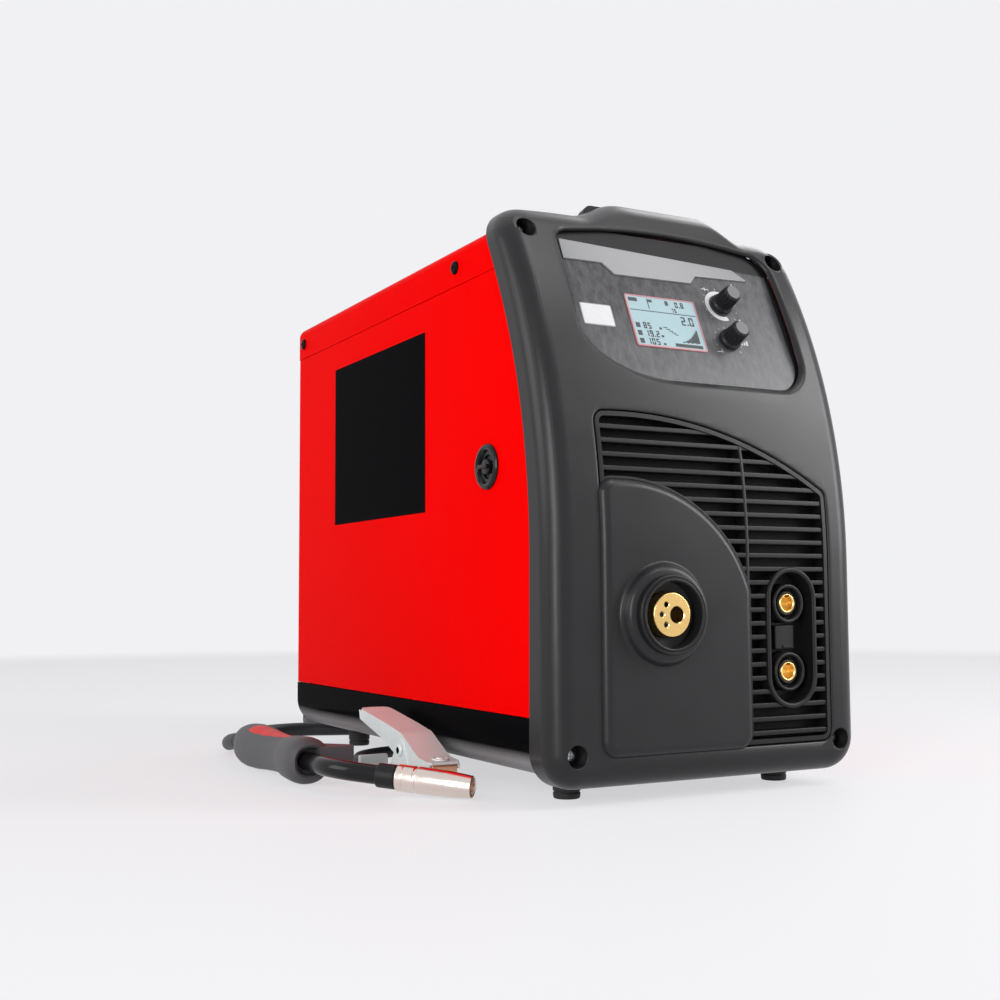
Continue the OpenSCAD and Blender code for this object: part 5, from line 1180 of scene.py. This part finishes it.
def make_nozzle():
    """The nozzle with the contact tip inside, and the trigger's lever."""
    place, along = bend_path(NECK_END + 27.0)
    out = axis_along(along, place)
    profile = [
        (0, 0.0), (8.2, 0.0), (8.5, 0.4), (8.5, 3.6), (8.15, 3.9), (8.15, 4.5), (8.5, 4.8), (8.5, 11.4), (8.0, 11.8),
        (7.9, 12.6), (8.0, 13.4), (8.5, 13.8), (8.45, 20.0), (8.2, 34.0), (7.4, 45.0), (7.0, 49.6), (6.7, 50.0),
        (6.0, 49.6), (5.6, 46.0), (6.1, 30.0), (6.1, 4.5), (0, 4.5),
    ]
    piece("nozzle_shell", lathed(profile, out, 72, 0.25, 2), "nozzle_metal", replaces=("torch_nozzle",))
    tip = [
        (0, 4.0), (4.4, 4.0), (4.4, 22.0), (3.0, 24.0), (3.0, 44.0), (2.2, 47.0), (0.6, 47.0), (0.5, 38.0), (0, 38.0),
    ]
    piece("contact_tip", lathed(tip, out, 32), "copper")
    lever = soft_box((-197.4, -14.0, 11.0), (-190.4, 21.0, 21.0), 1.4, 3)
    for vert in lever.verts:
        if vert.co.x > -194.0:
            vert.co.x += 0.4 + 0.9 * math.sin((vert.co.y + 14.0) / 35.0 * math.pi)
    piece("trigger_lever", lever, "dark_plastic", "torch_trigger", ("torch_trigger",))


# ------------------------------------------------------------------ earth clamp
def bent_strip(path, half_width, thickness, ends=(0.0, 0.0)):
    """A flat strip along a Y-Z path; its ends are rounded by the given radii."""
    strip = bmesh.new()
    lengths = [0.0]
    for a, c in zip(path, path[1:]):
        lengths.append(lengths[-1] + math.dist(a, c))
    for vert in bmesh.ops.create_grid(strip, x_segments=8, y_segments=len(path) * 6, size=1.0)["verts"]:
        u, run = vert.co.x, (vert.co.y + 1) / 2 * lengths[-1]
        reach = half_width
        for radius, gone in ((ends[0], run), (ends[1], lengths[-1] - run)):
            if radius and gone < radius:
                reach = min(reach, half_width - radius + math.sqrt(max(0.0, radius ** 2 - (radius - gone) ** 2)))
        k = next(k for k in range(len(path) - 1) if run <= lengths[k + 1] + 1e-6)
        share = (run - lengths[k]) / (lengths[k + 1] - lengths[k])
        y, z = (a + (c - a) * share for a, c in zip(path[k], path[k + 1]))
        vert.co = (CLAMP_X + u * reach, y, z)
    return plated(strip, thickness)


def cheeks(points, offset, radius=0.35):
    """The two flat cheeks of a jaw, cut to a clockwise Y-Z outline."""
    return [
        sideways(prism(points[::-1], CLAMP_X + s * offset - 0.8, CLAMP_X + s * offset + 0.8, radius, 2, both=True))
        for s in (-1, 1)
    ]


def make_clamp():
    """The earth clamp: two pressed jaws on a pin, a spring between them and copper faces."""
    upper = bent_strip(
        [(-111, 19), (-96, 20.5), (-90, 22.5), (-66, 34.5), (-40, 38.9), (8, 46), (12, 46)], 11.5, 1.6, (2.0, 10.0)
    )
    cheek = [
        (-110, 18), (-96, 19.4), (-66, 33.2), (10, 44.6), (8, 38), (-36, 27), (-58, 18), (-66, 16.4), (-74, 15),
        (-90, 12.4), (-110, 14.4),
    ]
    boss = [(0, 0), (5.6, 0), (5.4, 0.7), (4.6, 1.0), (4.2, 0.5), (3.0, 0.5), (2.6, 1.5), (0, 1.7)]
    boss = lathed(boss, Matrix.Translation((CLAMP_X, -103.5, 20.0)) @ Matrix.Rotation(0.1, 4, "X"), 40, 0.2, 2)
    pin = lathed([(0, -14), (2.4, -14), (2.4, 14), (0, 14)], axis_along((1, 0, 0), (CLAMP_X, *CLAMP_PIN)), 32)
    head = [(0, 12.2), (4.2, 12.2), (4.0, 13.4), (2.6, 14.0), (0, 14.0)]
    heads = [lathed(head, axis_along((s, 0, 0), (CLAMP_X, *CLAMP_PIN)), 32, 0.3, 2) for s in (-1, 1)]
    piece("clamp_lever", joined(upper, *cheeks(cheek, 10.5), boss, pin, *heads), "zinc_plate", "clamp_upper_jaw",
          ("clamp_upper_jaw",), angle=40)
    pad = soft_box((CLAMP_X - 9.4, -110.4, 9.2), (CLAMP_X + 9.4, -94.0, 17.4), 1.4, 3)
    tape = soft_box((CLAMP_X - 9.9, -111.0, 8.4), (CLAMP_X + 9.9, -97.5, 10.4), 0.5, 2)
    piece("clamp_upper_copper", joined(pad, tape), "copper", "clamp_upper_jaw")
    floor = bent_strip([(-111, 2.0), (-60, 2.0), (8, 2.0)], 11.5, 1.9, (1.5, 1.5))
    cheek = [
        (-104, 0.2), (-20, 0.2), (-20, 5), (-34, 7), (-48, 12), (-58, 24), (-61, 28), (-66, 30), (-71, 28),
        (-73.5, 23), (-80, 10), (-104, 4),
    ]
    back = soft_box((CLAMP_X - 11.5, 8.0, 0.1), (CLAMP_X + 11.5, 11.6, 12.0), 1.6, 3)
    base = joined(floor, *cheeks(cheek[::-1], 11.2), back)
    piece("clamp_base", base, "zinc_plate", replaces=("clamp_lower_jaw",), angle=40)
    pad = soft_box((CLAMP_X - 8.8, -110.0, 2.0), (CLAMP_X + 8.8, -94.2, 7.9), 1.2, 3)
    piece("clamp_lower_copper", pad, "copper")
    wire = arc(4.9, 0.0, 1.15, 0, 360, 12)
    coils = [lathed(wire, axis_along((1, 0.06, 0), (CLAMP_X + k * 2.5, *CLAMP_PIN)), 32) for k in range(-3, 4)]
    piece("clamp_coils", joined(*coils), "spring_steel", "clamp_upper_jaw", ("clamp_spring",), angle=60)


# ------------------------------------------------------------------ fasteners and rear
def screw_head(place, radius=4.8, rise=2.2):
    """A pan head with a cross recess, its seat at a place."""
    crown = [
        (0, -0.6), (radius, -0.6), (radius, rise * 0.35), (radius * 0.86, rise * 0.8), (radius * 0.5, rise), (0, rise),
    ]
    head = lathed(crown, Matrix(), 40, radius * 0.22)
    for turn in (0, math.pi / 2):
        slot = bmesh.new()
        box(slot, (-0.5, -radius * 0.52, rise * 0.25), (0.5, radius * 0.52, rise + 1), Matrix.Rotation(turn, 4, "Z"))
        head = cut(head, slot)
    return moved(head, place)


def make_fasteners():
    """Cross-recessed screws of the cover and the rear, and those deep in the bezel's corners."""
    heads = []
    for side in (-1, 1):
        heads += [screw_head(axis_along((side, 0, 0), (side * SIDE_X, y, 353.0))) for y in (218.0, -88.0)]
        heads += [
            screw_head(axis_along((0, 1, 0), (side * x, REAR_Y - 1.0, z))) for x, z in ((95.0, 352.0), (88.0, 30.0))
        ]
    piece("case_fasteners", joined(*heads), "black_enamel", replaces=("case_screws",), angle=40)
    seats = [axis_along((0, -1, 0), (x, face_y(z, FRONT_R - 11.8), z)) for x, z in BEZEL_SCREWS]
    piece("bezel_screws", joined(*(screw_head(seat, 4.6, 2.6) for seat in seats)), "turned_steel", angle=40)


def softened(name, finish, radius):
    """A merged copy of a frame solid with its edges rounded, standing in for it."""
    form = bmesh.new()
    form.from_mesh(NODES[name].data)
    bmesh.ops.remove_doubles(form, verts=form.verts, dist=0.000004)
    bmesh.ops.dissolve_limit(form, angle_limit=math.radians(0.4), verts=form.verts, edges=form.edges)
    made = meshed(name + "_soft", form, finish, ROOT, (name,), 70.0)
    rounding = made.modifiers.new("rounding", "BEVEL")
    rounding.width, rounding.segments, rounding.profile = radius * MM, 2, 0.5
    rounding.limit_method, rounding.angle_limit = "ANGLE", math.radians(38.0)
    rounding.use_clamp_overlap = True
    rounding.harden_normals = False
    smoothed(made)


def make_rear():
    """The solids that keep their shape and only get their edges rounded."""
    for name, finish, radius in (
        ("rear_panel", "black_enamel", 0.4),
        ("fan_frame", "dark_plastic", 0.5),
        ("cable_gland", "dark_plastic", 0.5),
        ("gas_valve", "brass", 0.4),
        ("hand_trough", "handle_plastic", 0.6),
    ):
        softened(name, finish, radius)


# ------------------------------------------------------------------ cables
# Centre lines in millimetres, the same as those of the cable solids
TORCH_ROUTE = [
    (-205, 120, 15), (-204, 140, 13), (-200, 162, 9.5), (-192, 184, 7), (-181, 206, 6), (-169, 227, 6),
    (-155, 246, 6), (-137, 261, 6), (-116, 268, 6), (-94, 266, 6), (-72, 257, 6), (-50, 249, 6),
    (-28, 246, 6), (-10, 247, 6),
]
TORCH_TAIL = [(14, 248.5, 18.2), (36, 249, 19), (56, 250, 20.3), (76, 250, 21), (92, 250, 21)]
TORCH_COIL = {"centre": (14, 328), "radii": (80, 68, 56), "start": -90, "turns": 6.0, "diameter": 12}
EARTH_ROUTE = [
    (-138, 12, 6), (-138, 24, 5.7), (-137, 38, 4.8), (-131, 53, 4.5), (-120, 65, 4.5), (-106, 73, 4.5),
    (-90, 78, 4.5), (-70, 84, 4.5), (-48, 94, 4.5), (-24, 108, 4.5), (0, 123, 4.5), (24, 136, 4.5),
    (48, 145, 4.5), (72, 151, 4.5), (96, 158, 4.5), (120, 170, 4.5), (144, 184, 4.5), (168, 197, 4.5),
    (192, 211, 4.5), (212, 227, 4.5), (227, 247, 4.5), (236, 271, 4.5), (239, 297, 4.5), (239.5, 322, 4.5),
]
EARTH_TAIL = [(164, 409.5, 13.5), (152, 409.5, 13.5), (140, 409.5, 13.5)]
EARTH_COIL = {"centre": (176, 346), "radii": (63.5, 54.5, 45.5, 36.5), "start": 0, "turns": 7.25, "diameter": 9}


def coil_points(centre, radii, start, turns, diameter, steps=24):
    """Turns of a two-layer coil: in through the radii on the floor, then out over them."""
    order = [(radius, diameter * 0.5) for radius in radii] + [(radius, diameter * 1.5) for radius in radii[::-1]]
    points = []
    for count in range(int(turns * steps) + (1 if turns % 1 else 0)):
        turn, step = divmod(count, steps)
        here, after = order[turn], order[min(turn + 1, len(order) - 1)]
        blend = smooth_step((step / steps - 0.75) / 0.25)
        radius = here[0] + (after[0] - here[0]) * blend
        angle = math.radians(start) + 2 * math.pi * step / steps
        height = here[1] + (after[1] - here[1]) * blend
        points.append((centre[0] + radius * math.cos(angle), centre[1] + radius * math.sin(angle), height))
    return points


def laid_cable(name, points, diameter, replaced, plug):
    """One cable as a single spline with its round section, declared with its finish and the solids it stands in for;
    its plug is not used.
    """
    data = bpy.data.curves.new(name, "CURVE")
    data.dimensions = "3D"
    data.resolution_u = 5
    data.bevel_depth = diameter * MM / 2
    data.bevel_resolution = 6
    data.use_fill_caps = True
    knots = data.splines.new("BEZIER").bezier_points
    spots = [Vector(point) * MM for point in points]
    knots.add(len(spots) - 1)
    for knot, before, spot, after in zip(knots, spots[:1] + spots, spots, spots[1:] + spots[-1:]):
        knot.handle_left_type = knot.handle_right_type = "FREE"
        pull = (after - before) / 6
        knot.co, knot.handle_left, knot.handle_right = spot, spot - pull, spot + pull
    made = new_object(name, data)
    declared(made, "cable_rubber", ROOT, replaced)


def ribbed(profile, start, end, count, radius, depth, flare=0.0, reach=1.0):
    """Adds a row of grip grooves to a turned profile; the grooved part widens by a flare over its reach."""
    pitch = (end - start) / count
    grooves = []
    for k in range(count):
        low = start + pitch * k
        for share, inset in ((0.0, 0.0), (0.55, 0.0), (0.68, depth), (0.87, depth)):
            grooves.append((radius - inset, low + pitch * share))
    grooves.append((radius, end))
    return profile + [(r + flare * (height / reach), height) for r, height in grooves]


def make_torch_plug():
    """The torch cable's connector: ribbed boot, fluted nut, brass face and pins."""
    profile = ribbed([(0, 0), (6.4, 0)], 1.0, 32.0, 7, 9.2, 1.3, 5.6, 34.0)
    profile += [(16.6, 34.0), (17.0, 35.0), (17.0, 55.0), (17.6, 56.0), (20.4, 56.5)]
    profile = ribbed(profile, 58.0, 76.0, 1, 20.4, 0.0) + [(12.5, 76.6), (12.5, 84.0), (0, 84.0)]
    out = axis_along((1, 0, 0), (92.0, 250.0, 21.0))
    nut = fluted(lathed(profile, Matrix(), 72, 0.5, 2), 19.5, 12, 0.05, 0.7)
    body = piece("torch_plug_body", moved(nut, out), "dark_plastic", replaces=("torch_plug",), angle=40)
    pin = [(0, 80), (4.5, 80), (4.5, 99.0), (3.6, 100.0), (0, 100.0)]
    small = [(0, 80), (0.9, 80), (0.9, 89.0), (0.5, 89.6), (0, 89.6)]
    metal = joined(
        turned([(0, 80), (11.2, 80), (11.2, 84.4), (10.6, 85), (0, 85)], 48),
        lathed(pin, Matrix.Translation((0, 3.5, 0)), 32, 0.4, 2),
        *(lathed(small, Matrix.Translation((x, y, 0)), 16) for x, y in ((-3.5, -5.5), (0.0, -7.2), (3.5, -5.5))),
    )
    return [body, piece("torch_plug_pins", moved(metal, out), "brass", angle=40)]


def make_earth_plug():
    """The earth cable's plug: ribbed boot and grip, brass pin with its bayonet lug."""
    profile = ribbed([(0, 0), (4.6, 0)], 0.8, 19.0, 5, 5.4, 0.7, 4.2, 20.0) + [(10.0, 20.0), (13.0, 20.6)]
    profile = ribbed(profile, 22.0, 50.0, 6, 13.4, 0.8) + [(13.0, 53.6), (9.2, 54.0), (9.0, 58.0), (0, 58.0)]
    out = axis_along((-1, 0, 0), (140.0, 409.5, 13.5))
    grip = lathed(profile, out, 56, 0.35, 2)
    body = piece("earth_plug_body", grip, "cable_rubber", replaces=("clamp_plug",), angle=40)
    pin = lathed([(0, 56), (4.4, 56), (4.4, 73.2), (3.8, 74.0), (0, 74.0)], Matrix(), 40, 0.4, 2)
    lug = soft_box((3.4, -1.3, 66.0), (5.9, 1.3, 71.0), 0.4, 2)
    return [body, piece("earth_plug_pin", moved(joined(pin, lug), out), "brass", angle=40)]


def make_ties():
    """Hook-and-loop straps that hold each coil together."""
    straps = []
    for coil, angles, height in ((TORCH_COIL, (35, 155, 250), 24.0), (EARTH_COIL, (50, 170, 290), 18.0)):
        slack = coil["diameter"] / 2 + 0.5
        loop = round_rect(coil["radii"][-1] - slack, 0.1, coil["radii"][0] + slack, height + 0.9, 5.0, 6)
        for angle in angles:
            strap = cut(prism(loop, -5.0, 5.0, 0.3, 2, both=True), prism(grown(loop, -0.9), -9.0, 9.0))
            turn = Matrix.Translation((*coil["centre"], 0)) @ Matrix.Rotation(math.radians(angle), 4, "Z")
            straps.append(moved(strap, turn))
    piece("coil_straps", joined(*straps), "cable_rubber", angle=40)


def lay_cables():
    """The two cables with their plugs and straps."""
    torch = TORCH_ROUTE + coil_points(**TORCH_COIL) + TORCH_TAIL
    laid_cable("torch_lead", torch, TORCH_COIL["diameter"], ("torch_cable", "torch_coil"), make_torch_plug())
    earth = EARTH_ROUTE + coil_points(**EARTH_COIL) + EARTH_TAIL
    laid_cable("earth_lead", earth, EARTH_COIL["diameter"], ("clamp_cable", "clamp_coil"), make_earth_plug())
    make_ties()


# ------------------------------------------------------------------ camera and studio
def aim_camera(props):
    """The camera at its place, aimed by yaw, pitch and roll."""
    data = bpy.data.cameras.new("camera")
    data.sensor_width = 36.0
    data.lens = props.lens
    data.clip_end = 30.0
    camera = new_object("camera", data)
    camera.location = props.camera_place
    camera.rotation_euler = Euler((math.pi / 2 + props.camera_pitch, props.camera_roll, -props.camera_yaw), "XYZ")
    bpy.context.scene.camera = camera


def softbox(name, place, aim, size, watts):
    """A rectangular lamp that the camera does not see."""
    data = bpy.data.lights.new(name, "AREA")
    data.shape = "RECTANGLE"
    data.size, data.size_y = size
    data.energy = watts
    lamp = new_object(name, data)
    lamp.location = place
    lamp.visible_camera = False
    lamp.rotation_euler = (Vector(aim) - Vector(place)).to_track_quat("-Z", "Y").to_euler()


def shown_to(nodes):
    """1 for the rays by which the eye, metal and glass see the background, 0 for those that light the object."""
    rays = ("Is Camera Ray", "Is Glossy Ray", "Is Transmission Ray")
    kinds = [nodes.node("ShaderNodeLightPath", output=ray) for ray in rays]
    return kinds[0].math("MAXIMUM", kinds[1]).math("MAXIMUM", kinds[2])


def build_studio(props):
    """Pale floor that fades into an equal backdrop, and broad soft lamps."""
    pale = (*props.backdrop, 1.0)
    form = bmesh.new()
    bmesh.ops.create_grid(form, x_segments=1, y_segments=1, size=8.0)
    mesh = bpy.data.meshes.new("studio_floor")
    form.to_mesh(mesh)
    form.free()
    floor = new_object("studio_floor", mesh)
    cloth = Finish("studio_floor", "", pale, 0.55, specular=0.25)
    across, along = cloth.height("X"), cloth.height("Y")
    far = ((across * across + along * along) ** 0.5 - 0.9) * 0.7
    flat = cloth.node("ShaderNodeEmission", values={"Color": pale, "Strength": 1.0})
    shaded = Socket(cloth, cloth.shader.outputs[0])
    # even close by, most of what is seen is the plain backdrop: the rest carries the object's shadow
    seen = far.clamped().math("MAXIMUM", 0.68) * shown_to(cloth)
    blend = cloth.node("ShaderNodeMixShader", values={0: seen, 1: shaded, 2: flat})
    cloth.feed(cloth.tree.nodes["Material Output"].inputs["Surface"], blend)
    mesh.materials.append(cloth.material)
    world = bpy.data.worlds.new("studio")
    bpy.context.scene.world = world
    world.use_nodes = True
    sky = NodeTree(world.node_tree)
    ambient = sky.node("ShaderNodeBackground", values={"Color": (0.9, 0.9, 0.92, 1), "Strength": props.ambient})
    shown = sky.node("ShaderNodeBackground", values={"Color": pale, "Strength": 1.0})
    blend = sky.node("ShaderNodeMixShader", values={0: shown_to(sky), 1: ambient, 2: shown})
    sky.feed(sky.tree.nodes["World Output"].inputs["Surface"], blend)
    softbox("key", (1.04, -0.9, 0.68), (0.05, -0.2, 0.22), (0.42, 1.1), props.key_power)
    softbox("top", (0.5, -0.8, 1.8), (0.0, -0.2, 0.3), (0.8, 0.8), props.top_power)
    softbox("side", (-2.2, 0.3, 1.0), (0, 0, 0.2), (1.2, 1.2), props.side_power)
    softbox("strip", (-1.3, -1.1, 0.5), (-0.1, -0.2, 0.22), (0.4, 1.0), props.strip_power)
    softbox("rim", (1.6, 0.9, 1.8), (0, 0, 0.25), (1.0, 1.0), props.rim_power)
    bpy.context.scene.view_settings.view_transform = "Standard"


# ------------------------------------------------------------------ settings
def color_setting(name, description, default):
    """A colour that can be set in the panel."""
    return bpy.props.FloatVectorProperty(
        name=name, description=description, default=default, min=0.0, max=1.0, size=3, subtype="COLOR"
    )


def length_setting(name, description, default):
    """A length in metres."""
    return bpy.props.FloatProperty(
        name=name, description=description, default=default, min=0.0001, unit="LENGTH", subtype="DISTANCE"
    )


def angle_setting(name, description, default):
    """An angle in radians."""
    return bpy.props.FloatProperty(name=name, description=description, default=default, subtype="ANGLE")


def power_setting(name, description, default):
    """A lamp's power in watts."""
    return bpy.props.FloatProperty(name=name, description=description, default=default, min=0.0, unit="POWER")


class WelderColors(bpy.types.PropertyGroup):
    """Colours of the main finishes."""

    red: color_setting("Enamel", "Enamel of the covers", (0.84, 0.0, 0.0))
    black: color_setting("Pan", "Enamel of the pan and the rear", (0.003, 0.003, 0.0035))
    plastic: color_setting("Front", "Moulded plastic of the front", (0.014, 0.014, 0.015))
    torch: color_setting("Torch", "Moulded plastic of the torch handle", (0.085, 0.085, 0.09))


class WelderSizes(bpy.types.PropertyGroup):
    """Sizes of the repeated details."""

    slat_pitch: length_setting("Slat pitch", "Distance from slat to slat in the grille", 0.0088)
    slat_thickness: length_setting("Slat thickness", "Height of one slat", 0.0032)


class WelderStudio(bpy.types.PropertyGroup):
    """Camera, lamps and backdrop."""

    lens: bpy.props.FloatProperty(name="Lens", description="Focal length in millimetres", default=46.895, min=1.0)
    camera_place: bpy.props.FloatVectorProperty(
        name="Camera place", description="Where the camera stands", default=(-0.511664, -0.882741, 0.125301), size=3,
        subtype="TRANSLATION",
    )
    camera_yaw: angle_setting("Yaw", "Turn of the camera to the right", 0.493)
    camera_pitch: angle_setting("Pitch", "Tilt of the camera above level", 0.075)
    camera_roll: angle_setting("Roll", "Roll of the camera about its line of sight", 0.005)
    backdrop: color_setting("Backdrop", "Colour of the floor and the backdrop", (0.88, 0.88, 0.9))
    ambient: bpy.props.FloatProperty(
        name="Ambient", description="Strength of the light all round", default=0.33, min=0.0
    )
    key_power: power_setting("Key", "Power of the lamp in front at the right", 14.5)
    top_power: power_setting("Top", "Power of the lamp above", 7.5)
    side_power: power_setting("Side", "Power of the lamp at the left", 14.5)
    strip_power: power_setting("Strip", "Power of the tall lamp at the left", 12.0)
    rim_power: power_setting("Rim", "Power of the lamp behind, to the right", 9.0)


# ------------------------------------------------------------------ operators
class WELDER_OT_studio(bpy.types.Operator):
    """Build the floor, the lamps and the camera"""

    bl_idname = "welder.studio"
    bl_label = "Studio"

    def execute(self, context):
        build_studio(context.scene.welder_studio)
        aim_camera(context.scene.welder_studio)
        return {"FINISHED"}


class WELDER_OT_finishes(bpy.types.Operator):
    """Make every finish and put them on the frame's solids"""

    bl_idname = "welder.finishes"
    bl_label = "Finishes"

    def execute(self, context):
        make_finishes(context.scene.welder_colors)
        finish_nodes()
        return {"FINISHED"}


class WELDER_OT_cables(bpy.types.Operator):
    """Lay the torch cable and the earth cable with their plugs and straps"""

    bl_idname = "welder.cables"
    bl_label = "Cables"

    def execute(self, context):
        lay_cables()
        return {"FINISHED"}


class WELDER_OT_bezel(bpy.types.Operator):
    """Model the front bezel and the pod of the torch socket"""

    bl_idname = "welder.bezel"
    bl_label = "Bezel"

    def execute(self, context):
        make_bezel()
        make_pod()
        return {"FINISHED"}


class WELDER_OT_grille(bpy.types.Operator):
    """Model the grille with its slats, rib and sunken cup"""

    bl_idname = "welder.grille"
    bl_label = "Grille"

    def execute(self, context):
        make_grille(context.scene.welder_sizes)
        return {"FINISHED"}


class WELDER_OT_panel_face(bpy.types.Operator):
    """Model the trim strip, the display and the dials of the control panel"""

    bl_idname = "welder.panel_face"
    bl_label = "Control panel"

    def execute(self, context):
        make_trim()
        make_display()
        make_dials()
        return {"FINISHED"}


class WELDER_OT_sockets(bpy.types.Operator):
    """Model the torch socket and the two current sockets"""

    bl_idname = "welder.sockets"
    bl_label = "Sockets"

    def execute(self, context):
        make_torch_socket()
        make_output_sockets()
        return {"FINISHED"}


class WELDER_OT_covers(bpy.types.Operator):
    """Model the side door with its latch, the top cover and the pan"""

    bl_idname = "welder.covers"
    bl_label = "Covers"

    def execute(self, context):
        make_door()
        make_cover()
        make_pan()
        return {"FINISHED"}


class WELDER_OT_fittings(bpy.types.Operator):
    """Model the handle, the feet, the screws and the fittings at the rear"""

    bl_idname = "welder.fittings"
    bl_label = "Fittings"

    def execute(self, context):
        make_handle()
        make_feet()
        make_fasteners()
        make_rear()
        return {"FINISHED"}


class WELDER_OT_torch(bpy.types.Operator):
    """Model the torch with its handle, insert, neck and nozzle"""

    bl_idname = "welder.torch"
    bl_label = "Torch"

    def execute(self, context):
        make_torch_handle()
        make_neck()
        make_nozzle()
        return {"FINISHED"}


class WELDER_OT_clamp(bpy.types.Operator):
    """Model the earth clamp"""

    bl_idname = "welder.clamp"
    bl_label = "Earth clamp"

    def execute(self, context):
        make_clamp()
        return {"FINISHED"}


STEPS = (
    WELDER_OT_studio, WELDER_OT_finishes, WELDER_OT_cables, WELDER_OT_bezel, WELDER_OT_grille, WELDER_OT_panel_face,
    WELDER_OT_sockets, WELDER_OT_covers, WELDER_OT_fittings, WELDER_OT_torch, WELDER_OT_clamp,
)


class WELDER_PT_build(bpy.types.Panel):
    """Lists the building steps with their settings"""

    bl_idname = "WELDER_PT_build"
    bl_label = "Welder"
    bl_space_type = "VIEW_3D"
    bl_region_type = "UI"
    bl_category = "Welder"

    def draw(self, context):
        scene = context.scene
        for group in (scene.welder_colors, scene.welder_sizes, scene.welder_studio):
            box_layout = self.layout.box()
            for name in group.__annotations__:
                box_layout.prop(group, name)
        for step in STEPS:
            self.layout.operator(step.bl_idname)


CLASSES = (WelderColors, WelderSizes, WelderStudio, *STEPS, WELDER_PT_build)


def register():
    """Adds the classes and the settings of the scene."""
    for one in CLASSES:
        bpy.utils.register_class(one)
    bpy.types.Scene.welder_colors = bpy.props.PointerProperty(type=WelderColors)
    bpy.types.Scene.welder_sizes = bpy.props.PointerProperty(type=WelderSizes)
    bpy.types.Scene.welder_studio = bpy.props.PointerProperty(type=WelderStudio)


def unregister():
    """Takes them away again, in the opposite order."""
    del bpy.types.Scene.welder_studio
    del bpy.types.Scene.welder_sizes
    del bpy.types.Scene.welder_colors
    for one in reversed(CLASSES):
        bpy.utils.unregister_class(one)


def main():
    """Builds everything in order."""
    register()
    for step in STEPS:
        group, call = step.bl_idname.split(".")
        getattr(getattr(bpy.ops, group), call)()


if __name__ == "__main__":
    main()
